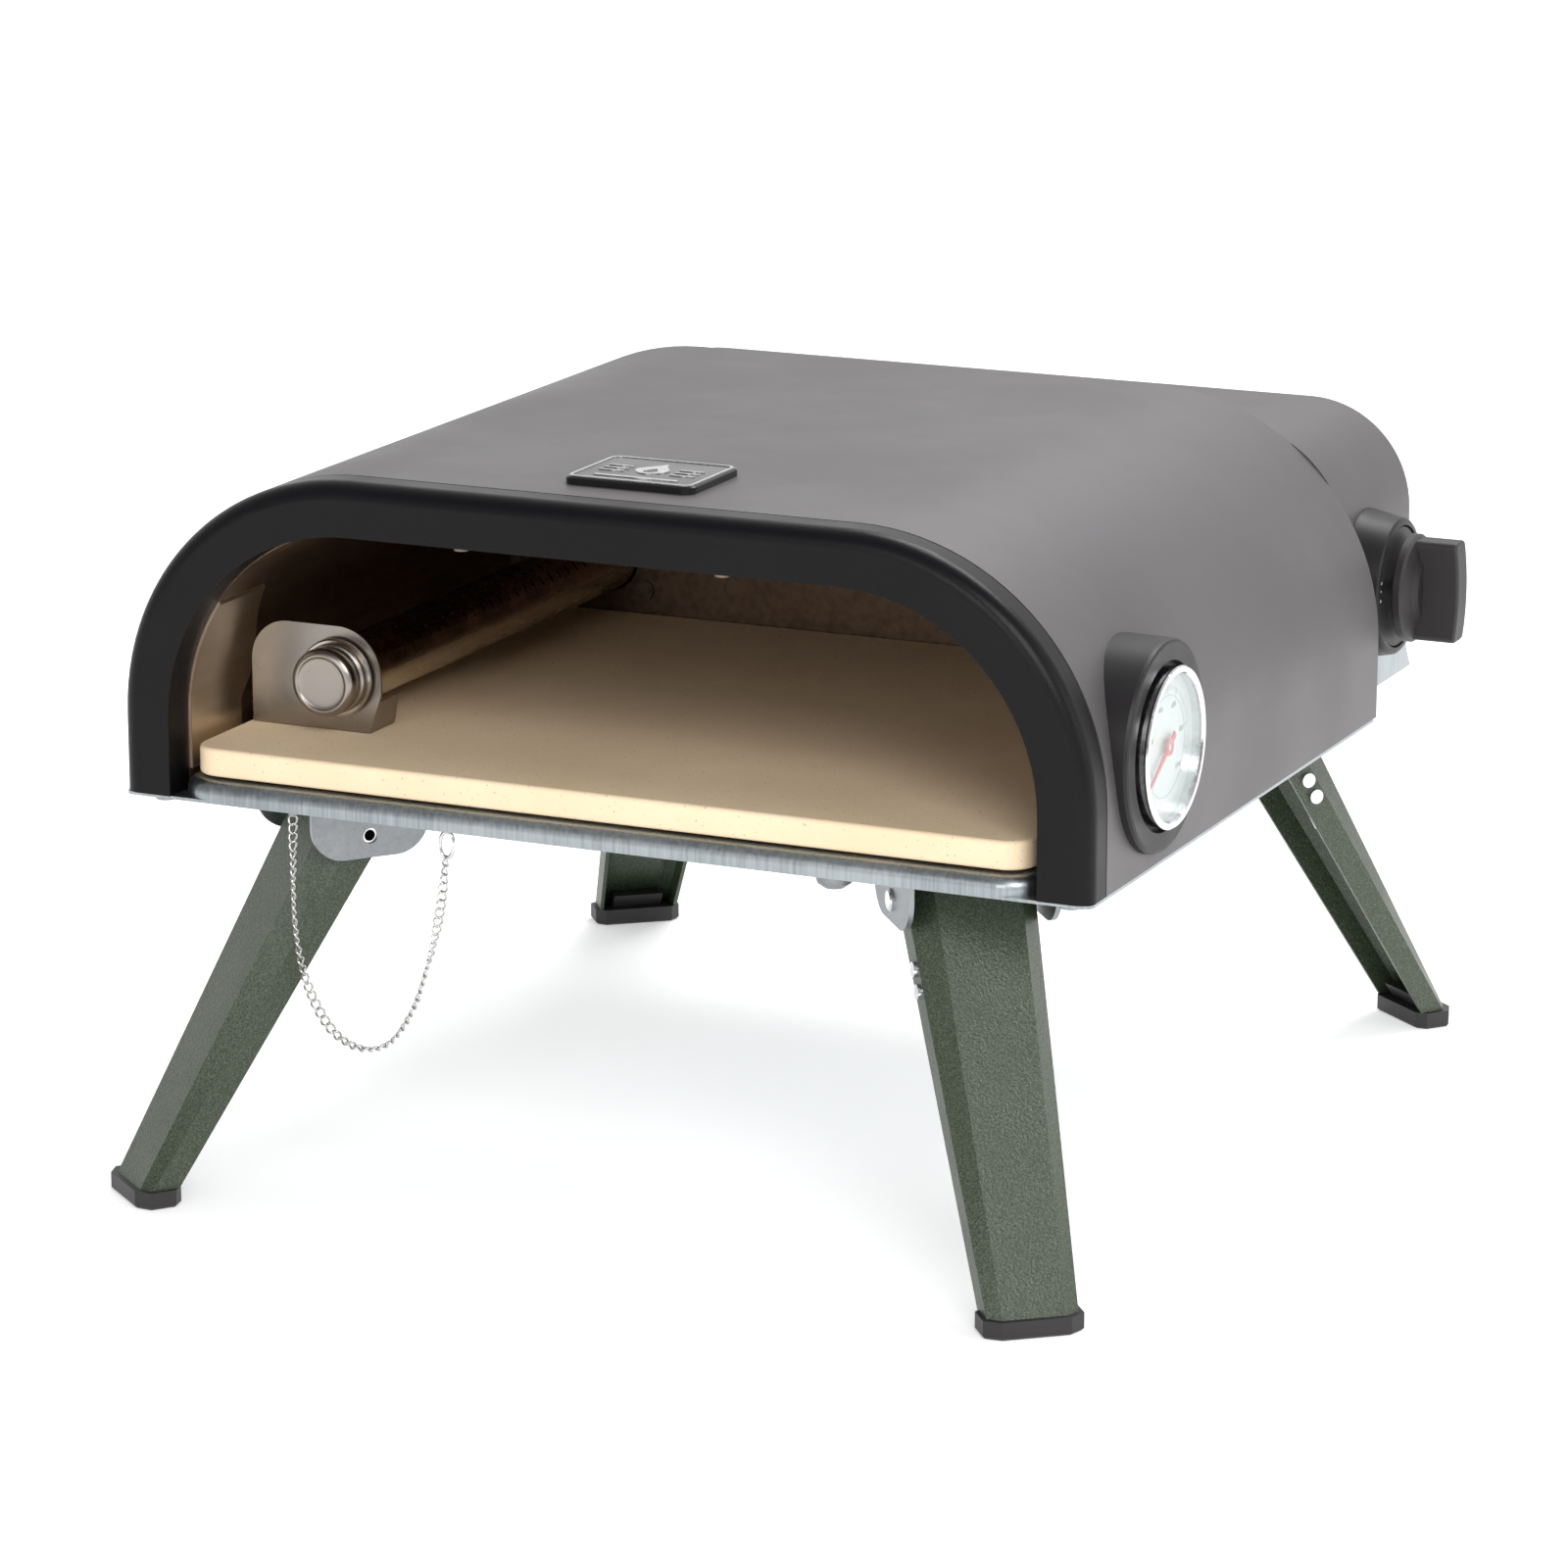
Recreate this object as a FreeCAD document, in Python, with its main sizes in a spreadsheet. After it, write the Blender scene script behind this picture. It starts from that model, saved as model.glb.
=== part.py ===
import FreeCAD, Part
import math
import os

import Sketcher

# Portable arched gas pizza oven on four folding splayed legs.
# Drawing frame: X = 0 on the middle of the body, Y = 0 on the front face of the front frame,
# Z = 0 on the ground.  Every part is then moved by (origin_x, origin_y) so that the origin
# lies under the middle of the whole object.

os.makedirs("parts", exist_ok=True)
doc = FreeCAD.newDocument("pizza_oven")
sheet = doc.addObject("Spreadsheet::Sheet", "Sizes")

SIZES = [
    ("origin_x", -9.3, "shift that centres the whole object sideways"),
    ("origin_y", -198.3, "shift that centres the whole object front to back"),
    ("base_z", 154.0, "underside of the base tray"),
    ("sheet", 1.2, "sheet steel of tray, shell, liner and cowl"),
    ("half_w", 198.0, "half width of the main body"),
    ("top_z", 283.0, "top of the main body"),
    ("arch_r", 97.0, "corner radius of the main arch"),
    ("shell_front", 16.0, "front edge of the main shell"),
    ("shell_rear", 310.0, "rear edge of the main shell"),
    ("frame_face", 20.5, "width of the front face of the front frame"),
    ("frame_depth", 15.0, "depth of the front frame"),
    ("frame_inner_r", 78.0, "inner corner radius of the front frame"),
    ("frame_round", 6.5, "rounding of the outer front edge"),
    ("frame_wall", 2.3, "wall of the hollow front frame"),
    ("cowl_half_w", 178.0, "half width of the rear cowl"),
    ("cowl_top", 264.5, "top of the rear cowl"),
    ("cowl_r", 44.0, "corner radius of the rear cowl"),
    ("cowl_rear", 410.0, "rear face of the cowl"),
    ("cowl_flange", 6.0, "fixing flange round the front of the cowl"),
    ("plateau_half_w", 176.5, "half width of the raised tray floor"),
    ("plateau_front", 0.8, "front lip of the raised tray floor"),
    ("plateau_rear", 401.0, "rear of the raised tray floor"),
    ("plateau_z", 162.4, "top of the raised tray floor"),
    ("plateau_corner", 15.0, "plan corner radius of the raised floor"),
    ("lip_round", 5.0, "rounding of the tray lip"),
    ("tab_h", 15.0, "height of the two rear side tabs of the tray"),
    ("stone_half_w", 171.5, "half width of the stone"),
    ("stone_front", 5.0, "front face of the stone"),
    ("stone_depth", 276.0, "depth of the stone"),
    ("stone_z", 163.4, "underside of the stone"),
    ("stone_t", 11.0, "thickness of the stone"),
    ("stone_corner", 11.0, "plan corner radius of the stone"),
    ("stone_round", 1.5, "rounding of the stone edges"),
    ("liner_half_w", 178.6, "outer half width of the liner"),
    ("liner_top", 263.2, "outer top of the liner"),
    ("liner_r", 79.0, "outer corner radius of the liner"),
    ("liner_front", 15.0, "front edge of the liner"),
    ("wall_y", 283.0, "front face of the rear wall of the chamber"),
    ("blanket_gap", 0.4, "play round the insulation"),
    ("burner_x", -131.0, "burner axis, sideways"),
    ("burner_z", 196.0, "burner axis, height"),
    ("burner_r", 13.0, "outer radius of the burner tube"),
    ("burner_front", 46.0, "front end of the burner tube"),
    ("burner_rear", 330.0, "rear end of the burner tube"),
    ("slot_len", 2.8, "length of a flame port"),
    ("slot_count", 24.0, "flame ports in a row"),
    ("slot_w", 1.4, "width of a flame port"),
    ("slot_pitch", 7.5, "pitch of the flame ports"),
    ("knob_y", 351.0, "control knob axis, depth"),
    ("knob_z", 200.0, "control knob axis, height"),
    ("knob_r", 22.0, "radius of the knob skirt"),
    ("grip_t", 12.0, "thickness of the knob grip"),
    ("boss_r", 27.0, "outer radius of the knob boss"),
    ("boss_base_r", 30.6, "base radius of the knob boss"),
    ("stem_r", 3.0, "radius of the valve stem"),
    ("play", 0.05, "radial play of turning fits"),
    ("dial_y", 63.5, "thermometer axis, depth"),
    ("dial_z", 200.0, "thermometer axis, height"),
    ("cup_r", 39.5, "outer radius of the thermometer cup"),
    ("cup_x", 202.0, "outer face of the thermometer cup"),
    ("case_r", 30.0, "outer radius of the thermometer case"),
    ("badge_w", 53.0, "width of the badge"),
    ("badge_d", 43.0, "depth of the badge"),
    ("badge_t", 3.0, "thickness of the badge"),
    ("badge_y", 55.0, "middle of the badge, depth"),
    ("pivot_x", 130.5, "leg pivot, sideways"),
    ("pivot_front", 49.0, "front leg pivot, depth"),
    ("pivot_rear", 347.6, "rear leg pivot, depth"),
    ("pivot_z", 140.0, "leg pivot, height"),
    ("leg_tilt", 29.3, "lean of the legs from vertical, degrees"),
    ("leg_turn", 51.0, "plan direction of the legs from the side, degrees"),
    ("leg_face", 14.0, "pivot to the outer face of the leg"),
    ("leg_up", 26.0, "height of the leg blank above the pivot"),
    ("leg_down", 172.0, "length of the leg blank below the pivot"),
    ("leg_sheet", 1.6, "sheet thickness of the legs"),
    ("leg_head_r", 12.5, "rounding of the leg flanges about the pivot"),
    ("pin_r", 3.0, "radius of the leg pivot pin"),
    ("plate_out", 29.0, "outer face of the bracket plates from the leg middle"),
    ("plate_t", 2.0, "thickness of the bracket plates"),
    ("plate_w", 48.0, "width of the bracket plates"),
    ("plate_low", 8.5, "bracket plate below the pivot"),
    ("plate_r", 13.5, "lower corner radius of the bracket plates"),
    ("foot_u", 90.6, "pivot to outer leg face at foot level"),
    ("foot_h", 7.0, "height of the foot cap"),
    ("chain_y", 5.0, "chain plane, depth"),
    ("chain_r", 2.2, "outer radius of the chain"),
]


class Dim:
    """A length together with the spreadsheet expression that gives it."""

    def __init__(self, value, text):
        self.value = float(value)
        self.text = text

    @staticmethod
    def of(other):
        if isinstance(other, Dim):
            return other
        return Dim(other, repr(float(other)))

    def __add__(self, other):
        other = Dim.of(other)
        return Dim(self.value + other.value, "(%s + %s)" % (self.text, other.text))

    def __radd__(self, other):
        return Dim.of(other) + self

    def __sub__(self, other):
        other = Dim.of(other)
        return Dim(self.value - other.value, "(%s - %s)" % (self.text, other.text))

    def __rsub__(self, other):
        return Dim.of(other) - self

    def __mul__(self, number):
        return Dim(self.value * number, "(%s * %s)" % (self.text, repr(float(number))))

    __rmul__ = __mul__

    def __neg__(self):
        return Dim(-self.value, "(0 - %s)" % self.text)


S = {}
for row, (alias, number, note) in enumerate(SIZES, start=1):
    sheet.set("A%d" % row, alias)
    sheet.set("B%d" % row, str(number))
    sheet.set("C%d" % row, note)
    sheet.setAlias("B%d" % row, alias)
    S[alias] = Dim(number, "Sizes.%s" % alias)
doc.recompute()

BODIES = []
PLANES = {"X": "YZ_Plane", "Y": "XZ_Plane", "Z": "XY_Plane"}


def place(item, at, rotation=None):
    """Bind the position of a part, given in the drawing frame, to the sheet."""
    x, y, z = [Dim.of(value) for value in at]
    if rotation is not None:
        item.Placement = FreeCAD.Placement(FreeCAD.Vector(), rotation)
    item.setExpression("Placement.Base.x", (S["origin_x"] + x).text)
    item.setExpression("Placement.Base.y", (S["origin_y"] + y).text)
    item.setExpression("Placement.Base.z", z.text)
    return item


def body(name, at=(0, 0, 0), rotation=None):
    item = doc.addObject("PartDesign::Body", name)
    item.Label = name
    place(item, at, rotation)
    BODIES.append(item)
    return item


def sketch(owner, axis, level=0):
    """A sketch square to an axis at a level along it."""
    item = owner.newObject("Sketcher::SketchObject", "%s_sketch" % owner.Name)
    wanted = PLANES[axis]
    plane = [feature for feature in owner.Origin.OriginFeatures if feature.Role == wanted][0]
    item.AttachmentSupport = [(plane, "")]
    item.MapMode = "FlatFace"
    level = Dim.of(level)
    if axis == "Y":
        level = -level
    if level.value or "Sizes" in level.text:
        item.setExpression("AttachmentOffset.Base.z", level.text)
    return item


def bind(item, constraint, size):
    number = item.addConstraint(constraint)
    item.setExpression("Constraints[%d]" % number, size.text)


def pin_point(item, geometry, end, x, y):
    """Hold one sketch point at coordinates that follow the sheet."""
    for kind, size, line in (("DistanceX", Dim.of(x), -2), ("DistanceY", Dim.of(y), -1)):
        if size.value == 0 and "Sizes" not in size.text:
            item.addConstraint(Sketcher.Constraint("PointOnObject", geometry, end, line))
        else:
            bind(item, Sketcher.Constraint(kind, -1, 1, geometry, end, size.value), size)


def outline(item, corners):
    """A closed outline of corners (x, y) or rounded corners (x, y, radius)."""
    points = [(Dim.of(c[0]), Dim.of(c[1]), Dim.of(c[2]) if len(c) > 2 else None) for c in corners]
    count = len(points)
    vectors = [FreeCAD.Vector(x.value, y.value, 0) for x, y, radius in points]
    starts, ends, arcs = [], [], []
    for index, (x, y, radius) in enumerate(points):
        here = vectors[index]
        if radius is None:
            starts.append(here)
            ends.append(here)
            arcs.append(None)
            continue
        before = (vectors[index - 1] - here).normalize()
        after = (vectors[(index + 1) % count] - here).normalize()
        half = before.getAngle(after) / 2
        reach = radius.value / math.tan(half)
        middle = (before + after).normalize()
        centre = here + middle * (radius.value / math.sin(half))
        start = here + before * reach
        end = here + after * reach
        starts.append(end)
        ends.append(start)
        forward = before.cross(after).z < 0
        first, last = (start, end) if forward else (end, start)
        angle = math.atan2(first.y - centre.y, first.x - centre.x)
        sweep = math.pi - 2 * half
        circle = Part.Circle(centre, FreeCAD.Vector(0, 0, 1), radius.value)
        arcs.append((Part.ArcOfCircle(circle, angle, angle + sweep), forward))
    lines = []
    for index in range(count):
        line = Part.LineSegment(starts[index], ends[(index + 1) % count])
        lines.append(item.addGeometry(line, False))
    for index, (x, y, radius) in enumerate(points):
        coming = lines[index - 1]
        going = lines[index]
        if radius is None:
            item.addConstraint(Sketcher.Constraint("Coincident", coming, 2, going, 1))
            pin_point(item, going, 1, x, y)
            continue
        corner = item.addGeometry(Part.Point(vectors[index]), True)
        pin_point(item, corner, 1, x, y)
        item.addConstraint(Sketcher.Constraint("PointOnObject", corner, 1, coming))
        item.addConstraint(Sketcher.Constraint("PointOnObject", corner, 1, going))
        curve, forward = arcs[index]
        arc = item.addGeometry(curve, False)
        near, far = (1, 2) if forward else (2, 1)
        item.addConstraint(Sketcher.Constraint("Tangent", coming, 2, arc, near))
        item.addConstraint(Sketcher.Constraint("Tangent", arc, far, going, 1))
        bind(item, Sketcher.Constraint("Radius", arc, radius.value), radius)


def disc(item, x, y, radius):
    x, y, radius = Dim.of(x), Dim.of(y), Dim.of(radius)
    circle = Part.Circle(FreeCAD.Vector(x.value, y.value, 0), FreeCAD.Vector(0, 0, 1), radius.value)
    number = item.addGeometry(circle, False)
    pin_point(item, number, 3, x, y)
    bind(item, Sketcher.Constraint("Radius", number, radius.value), radius)


def solid_of(owner):
    doc.recompute()
    return owner.Shape.Volume


def grow(owner, item, axis, length):
    """Add material from the sketch towards the positive side of the axis."""
    feature = owner.newObject("PartDesign::Pad", "%s_pad" % owner.Name)
    feature.Profile = item
    feature.setExpression("Length", Dim.of(length).text)
    feature.Reversed = axis == "Y"
    item.Visibility = False
    doc.recompute()
    return feature


def cut(owner, item, axis, length):
    """Take material away from the sketch towards the positive side of the axis."""
    before = solid_of(owner)
    feature = owner.newObject("PartDesign::Pocket", "%s_cut" % owner.Name)
    feature.Profile = item
    feature.setExpression("Length", Dim.of(length).text)
    feature.Reversed = axis != "Y"
    if solid_of(owner) > before - 1e-4:
        raise RuntimeError("cut removed nothing from %s" % owner.Label)
    return feature


def repeat(owner, feature, axis, length, count):
    """Repeat a feature in a straight row along an axis of the part's own frame."""
    before = solid_of(owner)
    pattern = owner.newObject("PartDesign::LinearPattern", "%s_row" % owner.Name)
    pattern.Originals = [feature]
    wanted = "%s_Axis" % axis
    line = [entry for entry in owner.Origin.OriginFeatures if entry.Role == wanted][0]
    pattern.Direction = (line, [""])
    pattern.setExpression("Length", Dim.of(length).text)
    pattern.setExpression("Occurrences", Dim.of(count).text)
    owner.Tip = pattern
    if solid_of(owner) > before - 1e-4:
        raise RuntimeError("row removed nothing from %s" % owner.Label)
    return pattern


def turn(owner, axis, profile):
    """Turn a profile of (along, radius) corners about an axis of the part's own frame."""
    item = sketch(owner, "Z" if axis == "Y" else "Y")
    corners = [(c[0], c[1]) if axis == "X" else (c[1], c[0]) for c in profile]
    outline(item, corners)
    feature = owner.newObject("PartDesign::Revolution", "%s_turn" % owner.Name)
    feature.Profile = item
    feature.ReferenceAxis = (item, ["H_Axis" if axis == "X" else "V_Axis"])
    feature.Angle = 360
    doc.recompute()
    return feature


def dress(owner, kind, chosen, size):
    """Fillet or chamfer the edges of the current solid that a test picks out."""
    doc.recompute()
    base = owner.Tip
    shape = base.Shape
    names = []
    for number, edge in enumerate(shape.Edges, start=1):
        if chosen(edge):
            names.append("Edge%d" % number)
    if not names:
        raise RuntimeError("no edge to dress on %s" % owner.Label)
    feature = owner.newObject("PartDesign::%s" % kind, "%s_%s" % (owner.Name, kind.lower()))
    feature.Base = (base, names)
    feature.setExpression("Radius" if kind == "Fillet" else "Size", Dim.of(size).text)
    doc.recompute()
    return feature


def along(edge, axis):
    """True for a straight edge that runs along an axis."""
    if not isinstance(edge.Curve, Part.Line):
        return False
    direction = edge.Curve.Direction
    return abs(getattr(direction, axis)) > 0.999


def at_level(edge, axis, level):
    """True when the whole edge lies in a plane square to an axis."""
    box = edge.BoundBox
    low = getattr(box, "%sMin" % axis.upper())
    high = getattr(box, "%sMax" % axis.upper())
    return abs(low - level) < 0.02 and abs(high - level) < 0.02


def arch(half_w, top, radius, low):
    return [(-half_w, low), (-half_w, top, radius), (half_w, top, radius), (half_w, low)]


def arch_band(outer, inner, low):
    """Outline of the material between two arches given as (half width, top, radius)."""
    band = arch(outer[0], outer[1], outer[2], low)
    band += list(reversed(arch(inner[0], inner[1], inner[2], low)))
    return band


def shrink(form, by):
    return (form[0] - by, form[1] - by, form[2] - by)


def rect(x0, x1, y0, y1):
    return [(x0, y0), (x1, y0), (x1, y1), (x0, y1)]


def slab(name, x, y, z, at=(0, 0, 0)):
    """A plain block body between limits."""
    owner = body(name, at)
    item = sketch(owner, "Z", z[0])
    outline(item, rect(x[0], x[1], y[0], y[1]))
    grow(owner, item, "Z", Dim.of(z[1]) - Dim.of(z[0]))
    return owner


def rounded_path(points, radius):
    """A wire of straight runs joined by tangent arcs."""
    vectors = [FreeCAD.Vector(*point) for point in points]
    edges = []
    last = vectors[0]
    for index in range(1, len(vectors) - 1):
        here = vectors[index]
        before = vectors[index - 1] - here
        after = vectors[index + 1] - here
        shorter = min(before.Length, after.Length)
        half = before.getAngle(after) / 2
        bend = radius if radius else 0.45 * shorter * math.tan(half)
        before.normalize()
        after.normalize()
        reach = bend / math.tan(half)
        middle = (before + after).normalize()
        centre = here + middle * (bend / math.sin(half))
        start = here + before * reach
        end = here + after * reach
        edges.append(Part.LineSegment(last, start).toShape())
        edges.append(Part.Arc(start, centre - middle * bend, end).toShape())
        last = end
    edges.append(Part.LineSegment(last, vectors[-1]).toShape())
    return Part.Wire(edges)


def tube(name, points, outer, inner=0.0, radius=0.0):
    """A round tube or rod along a rounded path, shaped by code."""
    path = rounded_path(points, radius)
    first = FreeCAD.Vector(*points[0])
    heading = FreeCAD.Vector(*points[1]) - first
    rings = []
    for size in (outer, inner):
        if size > 0:
            ring = Part.Wire([Part.makeCircle(size, first, heading)])
            rings.append(path.makePipeShell([ring], True, False))
    shape = rings[0]
    if len(rings) == 2:
        shape = shape.cut(rings[1])
    section = math.pi * (outer ** 2 - inner ** 2)
    print("%s length %.1f volume ratio %.4f" % (name, path.Length, shape.Volume / (section * path.Length)))
    item = doc.addObject("Part::Feature", name)
    item.Label = name
    item.Shape = shape
    place(item, (0, 0, 0))
    BODIES.append(item)
    return item


SHEET = S["sheet"]
DECK = S["base_z"] + SHEET
MAIN = (S["half_w"], S["top_z"], S["arch_r"])
COWL = (S["cowl_half_w"], S["cowl_top"], S["cowl_r"])
LINER = (S["liner_half_w"], S["liner_top"], S["liner_r"])
MOUTH = (S["half_w"] - S["frame_face"], S["top_z"] - S["frame_face"], S["frame_inner_r"])

# ---------------------------------------------------------------- base tray
tray = body("base_tray")
flange = sketch(tray, "Z", S["base_z"])
step = S["shell_rear"] + 1.5
outline(flange, [
    (-S["half_w"], S["plateau_front"], 4), (S["half_w"], S["plateau_front"], 4),
    (S["half_w"], step, 6), (S["cowl_half_w"] + 8, step), (S["cowl_half_w"] + 1.4, step + 6),
    (S["cowl_half_w"] + 1.4, S["cowl_rear"] - 1, 4), (-S["cowl_half_w"] - 1.4, S["cowl_rear"] - 1, 4),
    (-S["cowl_half_w"] - 1.4, step + 6), (-S["cowl_half_w"] - 8, step), (-S["half_w"], step, 6),
])
grow(tray, flange, "Z", SHEET)
rise = sketch(tray, "Z", S["base_z"])
outline(rise, [c + (S["plateau_corner"],) for c in rect(
    -S["plateau_half_w"], S["plateau_half_w"], S["plateau_front"], S["plateau_rear"])])
grow(tray, rise, "Z", S["plateau_z"] - S["base_z"])
hollow = sketch(tray, "Z", S["base_z"])
outline(hollow, [c + (S["plateau_corner"] - SHEET,) for c in rect(
    -S["plateau_half_w"] + SHEET, S["plateau_half_w"] - SHEET,
    S["plateau_front"] + SHEET, S["plateau_rear"] - SHEET)])
cut(tray, hollow, "Z", S["plateau_z"] - S["base_z"] - SHEET)
dress(tray, "Fillet", lambda edge: at_level(edge, "z", (S["plateau_z"] - SHEET).value), S["lip_round"] - SHEET)
dress(tray, "Fillet", lambda edge: at_level(edge, "z", S["plateau_z"].value), S["lip_round"])
for side in (1, -1):
    wall_x = S["cowl_half_w"] + 0.2 if side > 0 else -S["cowl_half_w"] - 1.4
    tab = sketch(tray, "X", wall_x)
    outline(tab, [
        (S["shell_rear"] + 9, S["base_z"]), (S["cowl_rear"] - 3, S["base_z"]),
        (S["cowl_rear"] - 13, S["base_z"] + S["tab_h"]), (S["shell_rear"] + 12, S["base_z"] + S["tab_h"]),
    ])
    grow(tray, tab, "X", 1.2)

# ---------------------------------------------------------------- front frame
frame = body("front_frame")
face = sketch(frame, "Y", 0)
outline(face, arch_band(MAIN, MOUTH, DECK))
grow(frame, face, "Y", S["frame_depth"])


def outer_front(edge):
    if not at_level(edge, "y", 0):
        return False
    middle = edge.CenterOfMass if hasattr(edge, "CenterOfMass") else edge.BoundBox.Center
    outside = edge.BoundBox.XMax > S["half_w"].value - 0.1 or edge.BoundBox.XMin < 0.1 - S["half_w"].value
    return outside and abs(middle.x) > 120 or edge.BoundBox.ZMin > S["top_z"].value - 0.1


dress(frame, "Fillet", lambda e: outer_front(e) and not e.BoundBox.ZMax < DECK.value + 0.1, S["frame_round"])
groove = sketch(frame, "Y", S["frame_wall"])
outline(groove, arch_band(
    shrink(MAIN, S["frame_wall"]),
    (MOUTH[0] + S["frame_wall"], MOUTH[1] + S["frame_wall"], MOUTH[2] + S["frame_wall"]), DECK + 2.3))
cut(frame, groove, "Y", S["frame_depth"])
collar = sketch(frame, "Y", S["frame_depth"] - 4)
outline(collar, arch_band(shrink(MAIN, SHEET), shrink(MAIN, SHEET + 1.6), DECK))
grow(frame, collar, "Y", 13)

# ---------------------------------------------------------------- outer shell
shell = body("outer_shell")
ring = sketch(shell, "Y", S["shell_front"])
outline(ring, arch_band(MAIN, shrink(MAIN, SHEET), DECK))
grow(shell, ring, "Y", S["shell_rear"] - S["shell_front"])
back = sketch(shell, "Y", S["shell_rear"] - SHEET)
outline(back, arch_band(shrink(MAIN, 0.6), COWL, DECK))
grow(shell, back, "Y", SHEET)
probe_hole = sketch(shell, "X", 180)
disc(probe_hole, S["dial_y"], S["dial_z"], 3.2)
cut(shell, probe_hole, "X", 30)

# ---------------------------------------------------------------- rear cowl
cowl = body("rear_cowl")
block = sketch(cowl, "Y", S["shell_rear"])
outline(block, arch(COWL[0], COWL[1], COWL[2], DECK))
grow(cowl, block, "Y", S["cowl_rear"] - S["shell_rear"])
dress(cowl, "Fillet", lambda e: at_level(e, "y", S["cowl_rear"].value) and e.BoundBox.ZMax > DECK.value + 1, 6)
room = sketch(cowl, "Y", S["shell_rear"])
inner = shrink(COWL, SHEET)
outline(room, arch(inner[0], inner[1], inner[2], DECK))
cut(cowl, room, "Y", S["cowl_rear"] - S["shell_rear"] - 7)
pocket = sketch(cowl, "Y", S["cowl_rear"] - 7)
deep = shrink(COWL, 6.0)
outline(pocket, arch(deep[0], deep[1], deep[2], DECK))
cut(cowl, pocket, "Y", 7 - SHEET)
lip = sketch(cowl, "Y", S["shell_rear"])
grip_form = (COWL[0] + S["cowl_flange"], COWL[1] + S["cowl_flange"], COWL[2] + S["cowl_flange"])
outline(lip, arch_band(grip_form, inner, DECK))
grow(cowl, lip, "Y", SHEET)
knob_port = sketch(cowl, "X", 165)
disc(knob_port, S["knob_y"], S["knob_z"], 7)
cut(cowl, knob_port, "X", 30)
gas_port = sketch(cowl, "Y", S["cowl_rear"] - 6)
disc(gas_port, 150, S["knob_z"], 8.2)
cut(cowl, gas_port, "Y", 10)
for row in range(2):
    slot = sketch(cowl, "Y", S["cowl_rear"] - 6)
    z = S["base_z"] + (64 + 20 * row)
    outline(slot, [(-136, z - 2), (-120, z - 2), (-120, z + 2), (-136, z + 2)])
    opening = cut(cowl, slot, "Y", 10)
    repeat(cowl, opening, "X", 192, 9)

# ---------------------------------------------------------------- chamber
liner = body("inner_liner")
ring = sketch(liner, "Y", S["liner_front"])
outline(ring, arch_band(LINER, shrink(LINER, SHEET), DECK))
grow(liner, ring, "Y", S["wall_y"] - S["liner_front"])
probe_hole = sketch(liner, "X", 140)
disc(probe_hole, S["dial_y"], S["dial_z"], 3.2)
cut(liner, probe_hole, "X", 60)

wall = body("back_wall")
plate = sketch(wall, "Y", S["wall_y"])
outline(plate, arch(LINER[0], LINER[1], LINER[2], S["plateau_z"]))
disc(plate, S["burner_x"], S["burner_z"], S["burner_r"] + 0.8)
grow(wall, plate, "Y", SHEET)

blanket = body("insulation_blanket")
ring = sketch(blanket, "Y", S["shell_front"] + 9)
wrap_in = (LINER[0] + S["blanket_gap"], LINER[1] + S["blanket_gap"], LINER[2] + S["blanket_gap"])
outline(ring, arch_band(shrink(MAIN, SHEET), wrap_in, DECK))
grow(blanket, ring, "Y", S["wall_y"] - S["shell_front"] - 9)
probe_hole = sketch(blanket, "X", 140)
disc(probe_hole, S["dial_y"], S["dial_z"], 3.2)
cut(blanket, probe_hole, "X", 70)

rear_pad = body("rear_insulation")
ring = sketch(rear_pad, "Y", S["wall_y"] + SHEET)
pad_form = shrink(MAIN, SHEET + 0.4)
outline(ring, arch(pad_form[0], pad_form[1], pad_form[2], S["plateau_z"]))
disc(ring, S["burner_x"], S["burner_z"], S["burner_r"] + 2)
grow(rear_pad, ring, "Y", S["shell_rear"] - SHEET - S["wall_y"] - SHEET)

shield = body("side_heat_shield")
leaf = sketch(shield, "Y", S["liner_front"] + 1)
outline(leaf, arch_band(shrink(LINER, SHEET), shrink(LINER, SHEET + 0.9), S["plateau_z"] + 0.4))
grow(shield, leaf, "Y", 50)
spare = sketch(shield, "Y", 0)
outline(spare, rect(-163, 220, 120, 320))
cut(shield, spare, "Y", 100)
spare = sketch(shield, "X", -220)
outline(spare, [(54, 140), (54, 182, 4), (61.5, 190, 6), (61.5, 206, 16), (40, 250), (90, 250), (90, 140)])
cut(shield, spare, "X", 80)

rails = body("stone_rails")
strips = sketch(rails, "Z", S["plateau_z"])
for side in (-1, 1):
    outline(strips, rect(side * 120 - 10, side * 120 + 10, S["stone_front"] + 15, S["stone_front"] + 260))
grow(rails, strips, "Z", S["stone_z"] - S["plateau_z"])

stone = body("pizza_stone")
plan = sketch(stone, "Z", S["stone_z"])
outline(plan, [c + (S["stone_corner"],) for c in rect(
    -S["stone_half_w"], S["stone_half_w"], S["stone_front"], S["stone_front"] + S["stone_depth"])])
grow(stone, plan, "Z", S["stone_t"])
dress(stone, "Fillet", lambda e: at_level(e, "z", S["stone_z"].value) or at_level(
    e, "z", S["stone_z"].value + S["stone_t"].value), S["stone_round"])

# ---------------------------------------------------------------- burner
burner = body("burner_tube", (S["burner_x"], 0, S["burner_z"]))
round_end = sketch(burner, "Y", S["burner_front"])
disc(round_end, 0, 0, S["burner_r"])
disc(round_end, 0, 0, S["burner_r"] - 1)
grow(burner, round_end, "Y", S["burner_rear"] - S["burner_front"])
for side in (-1, 1):
    for middle in (5.4, 10.2):
        ports = sketch(burner, "Z", 3)
        half = S["slot_len"] * 0.5
        first = S["burner_front"] + 42
        outline(ports, rect(side * middle - half, side * middle + half, first, first + S["slot_w"]))
        port = cut(burner, ports, "Z", 30)
        repeat(burner, port, "Y", S["slot_pitch"] * 23, S["slot_count"])

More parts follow.
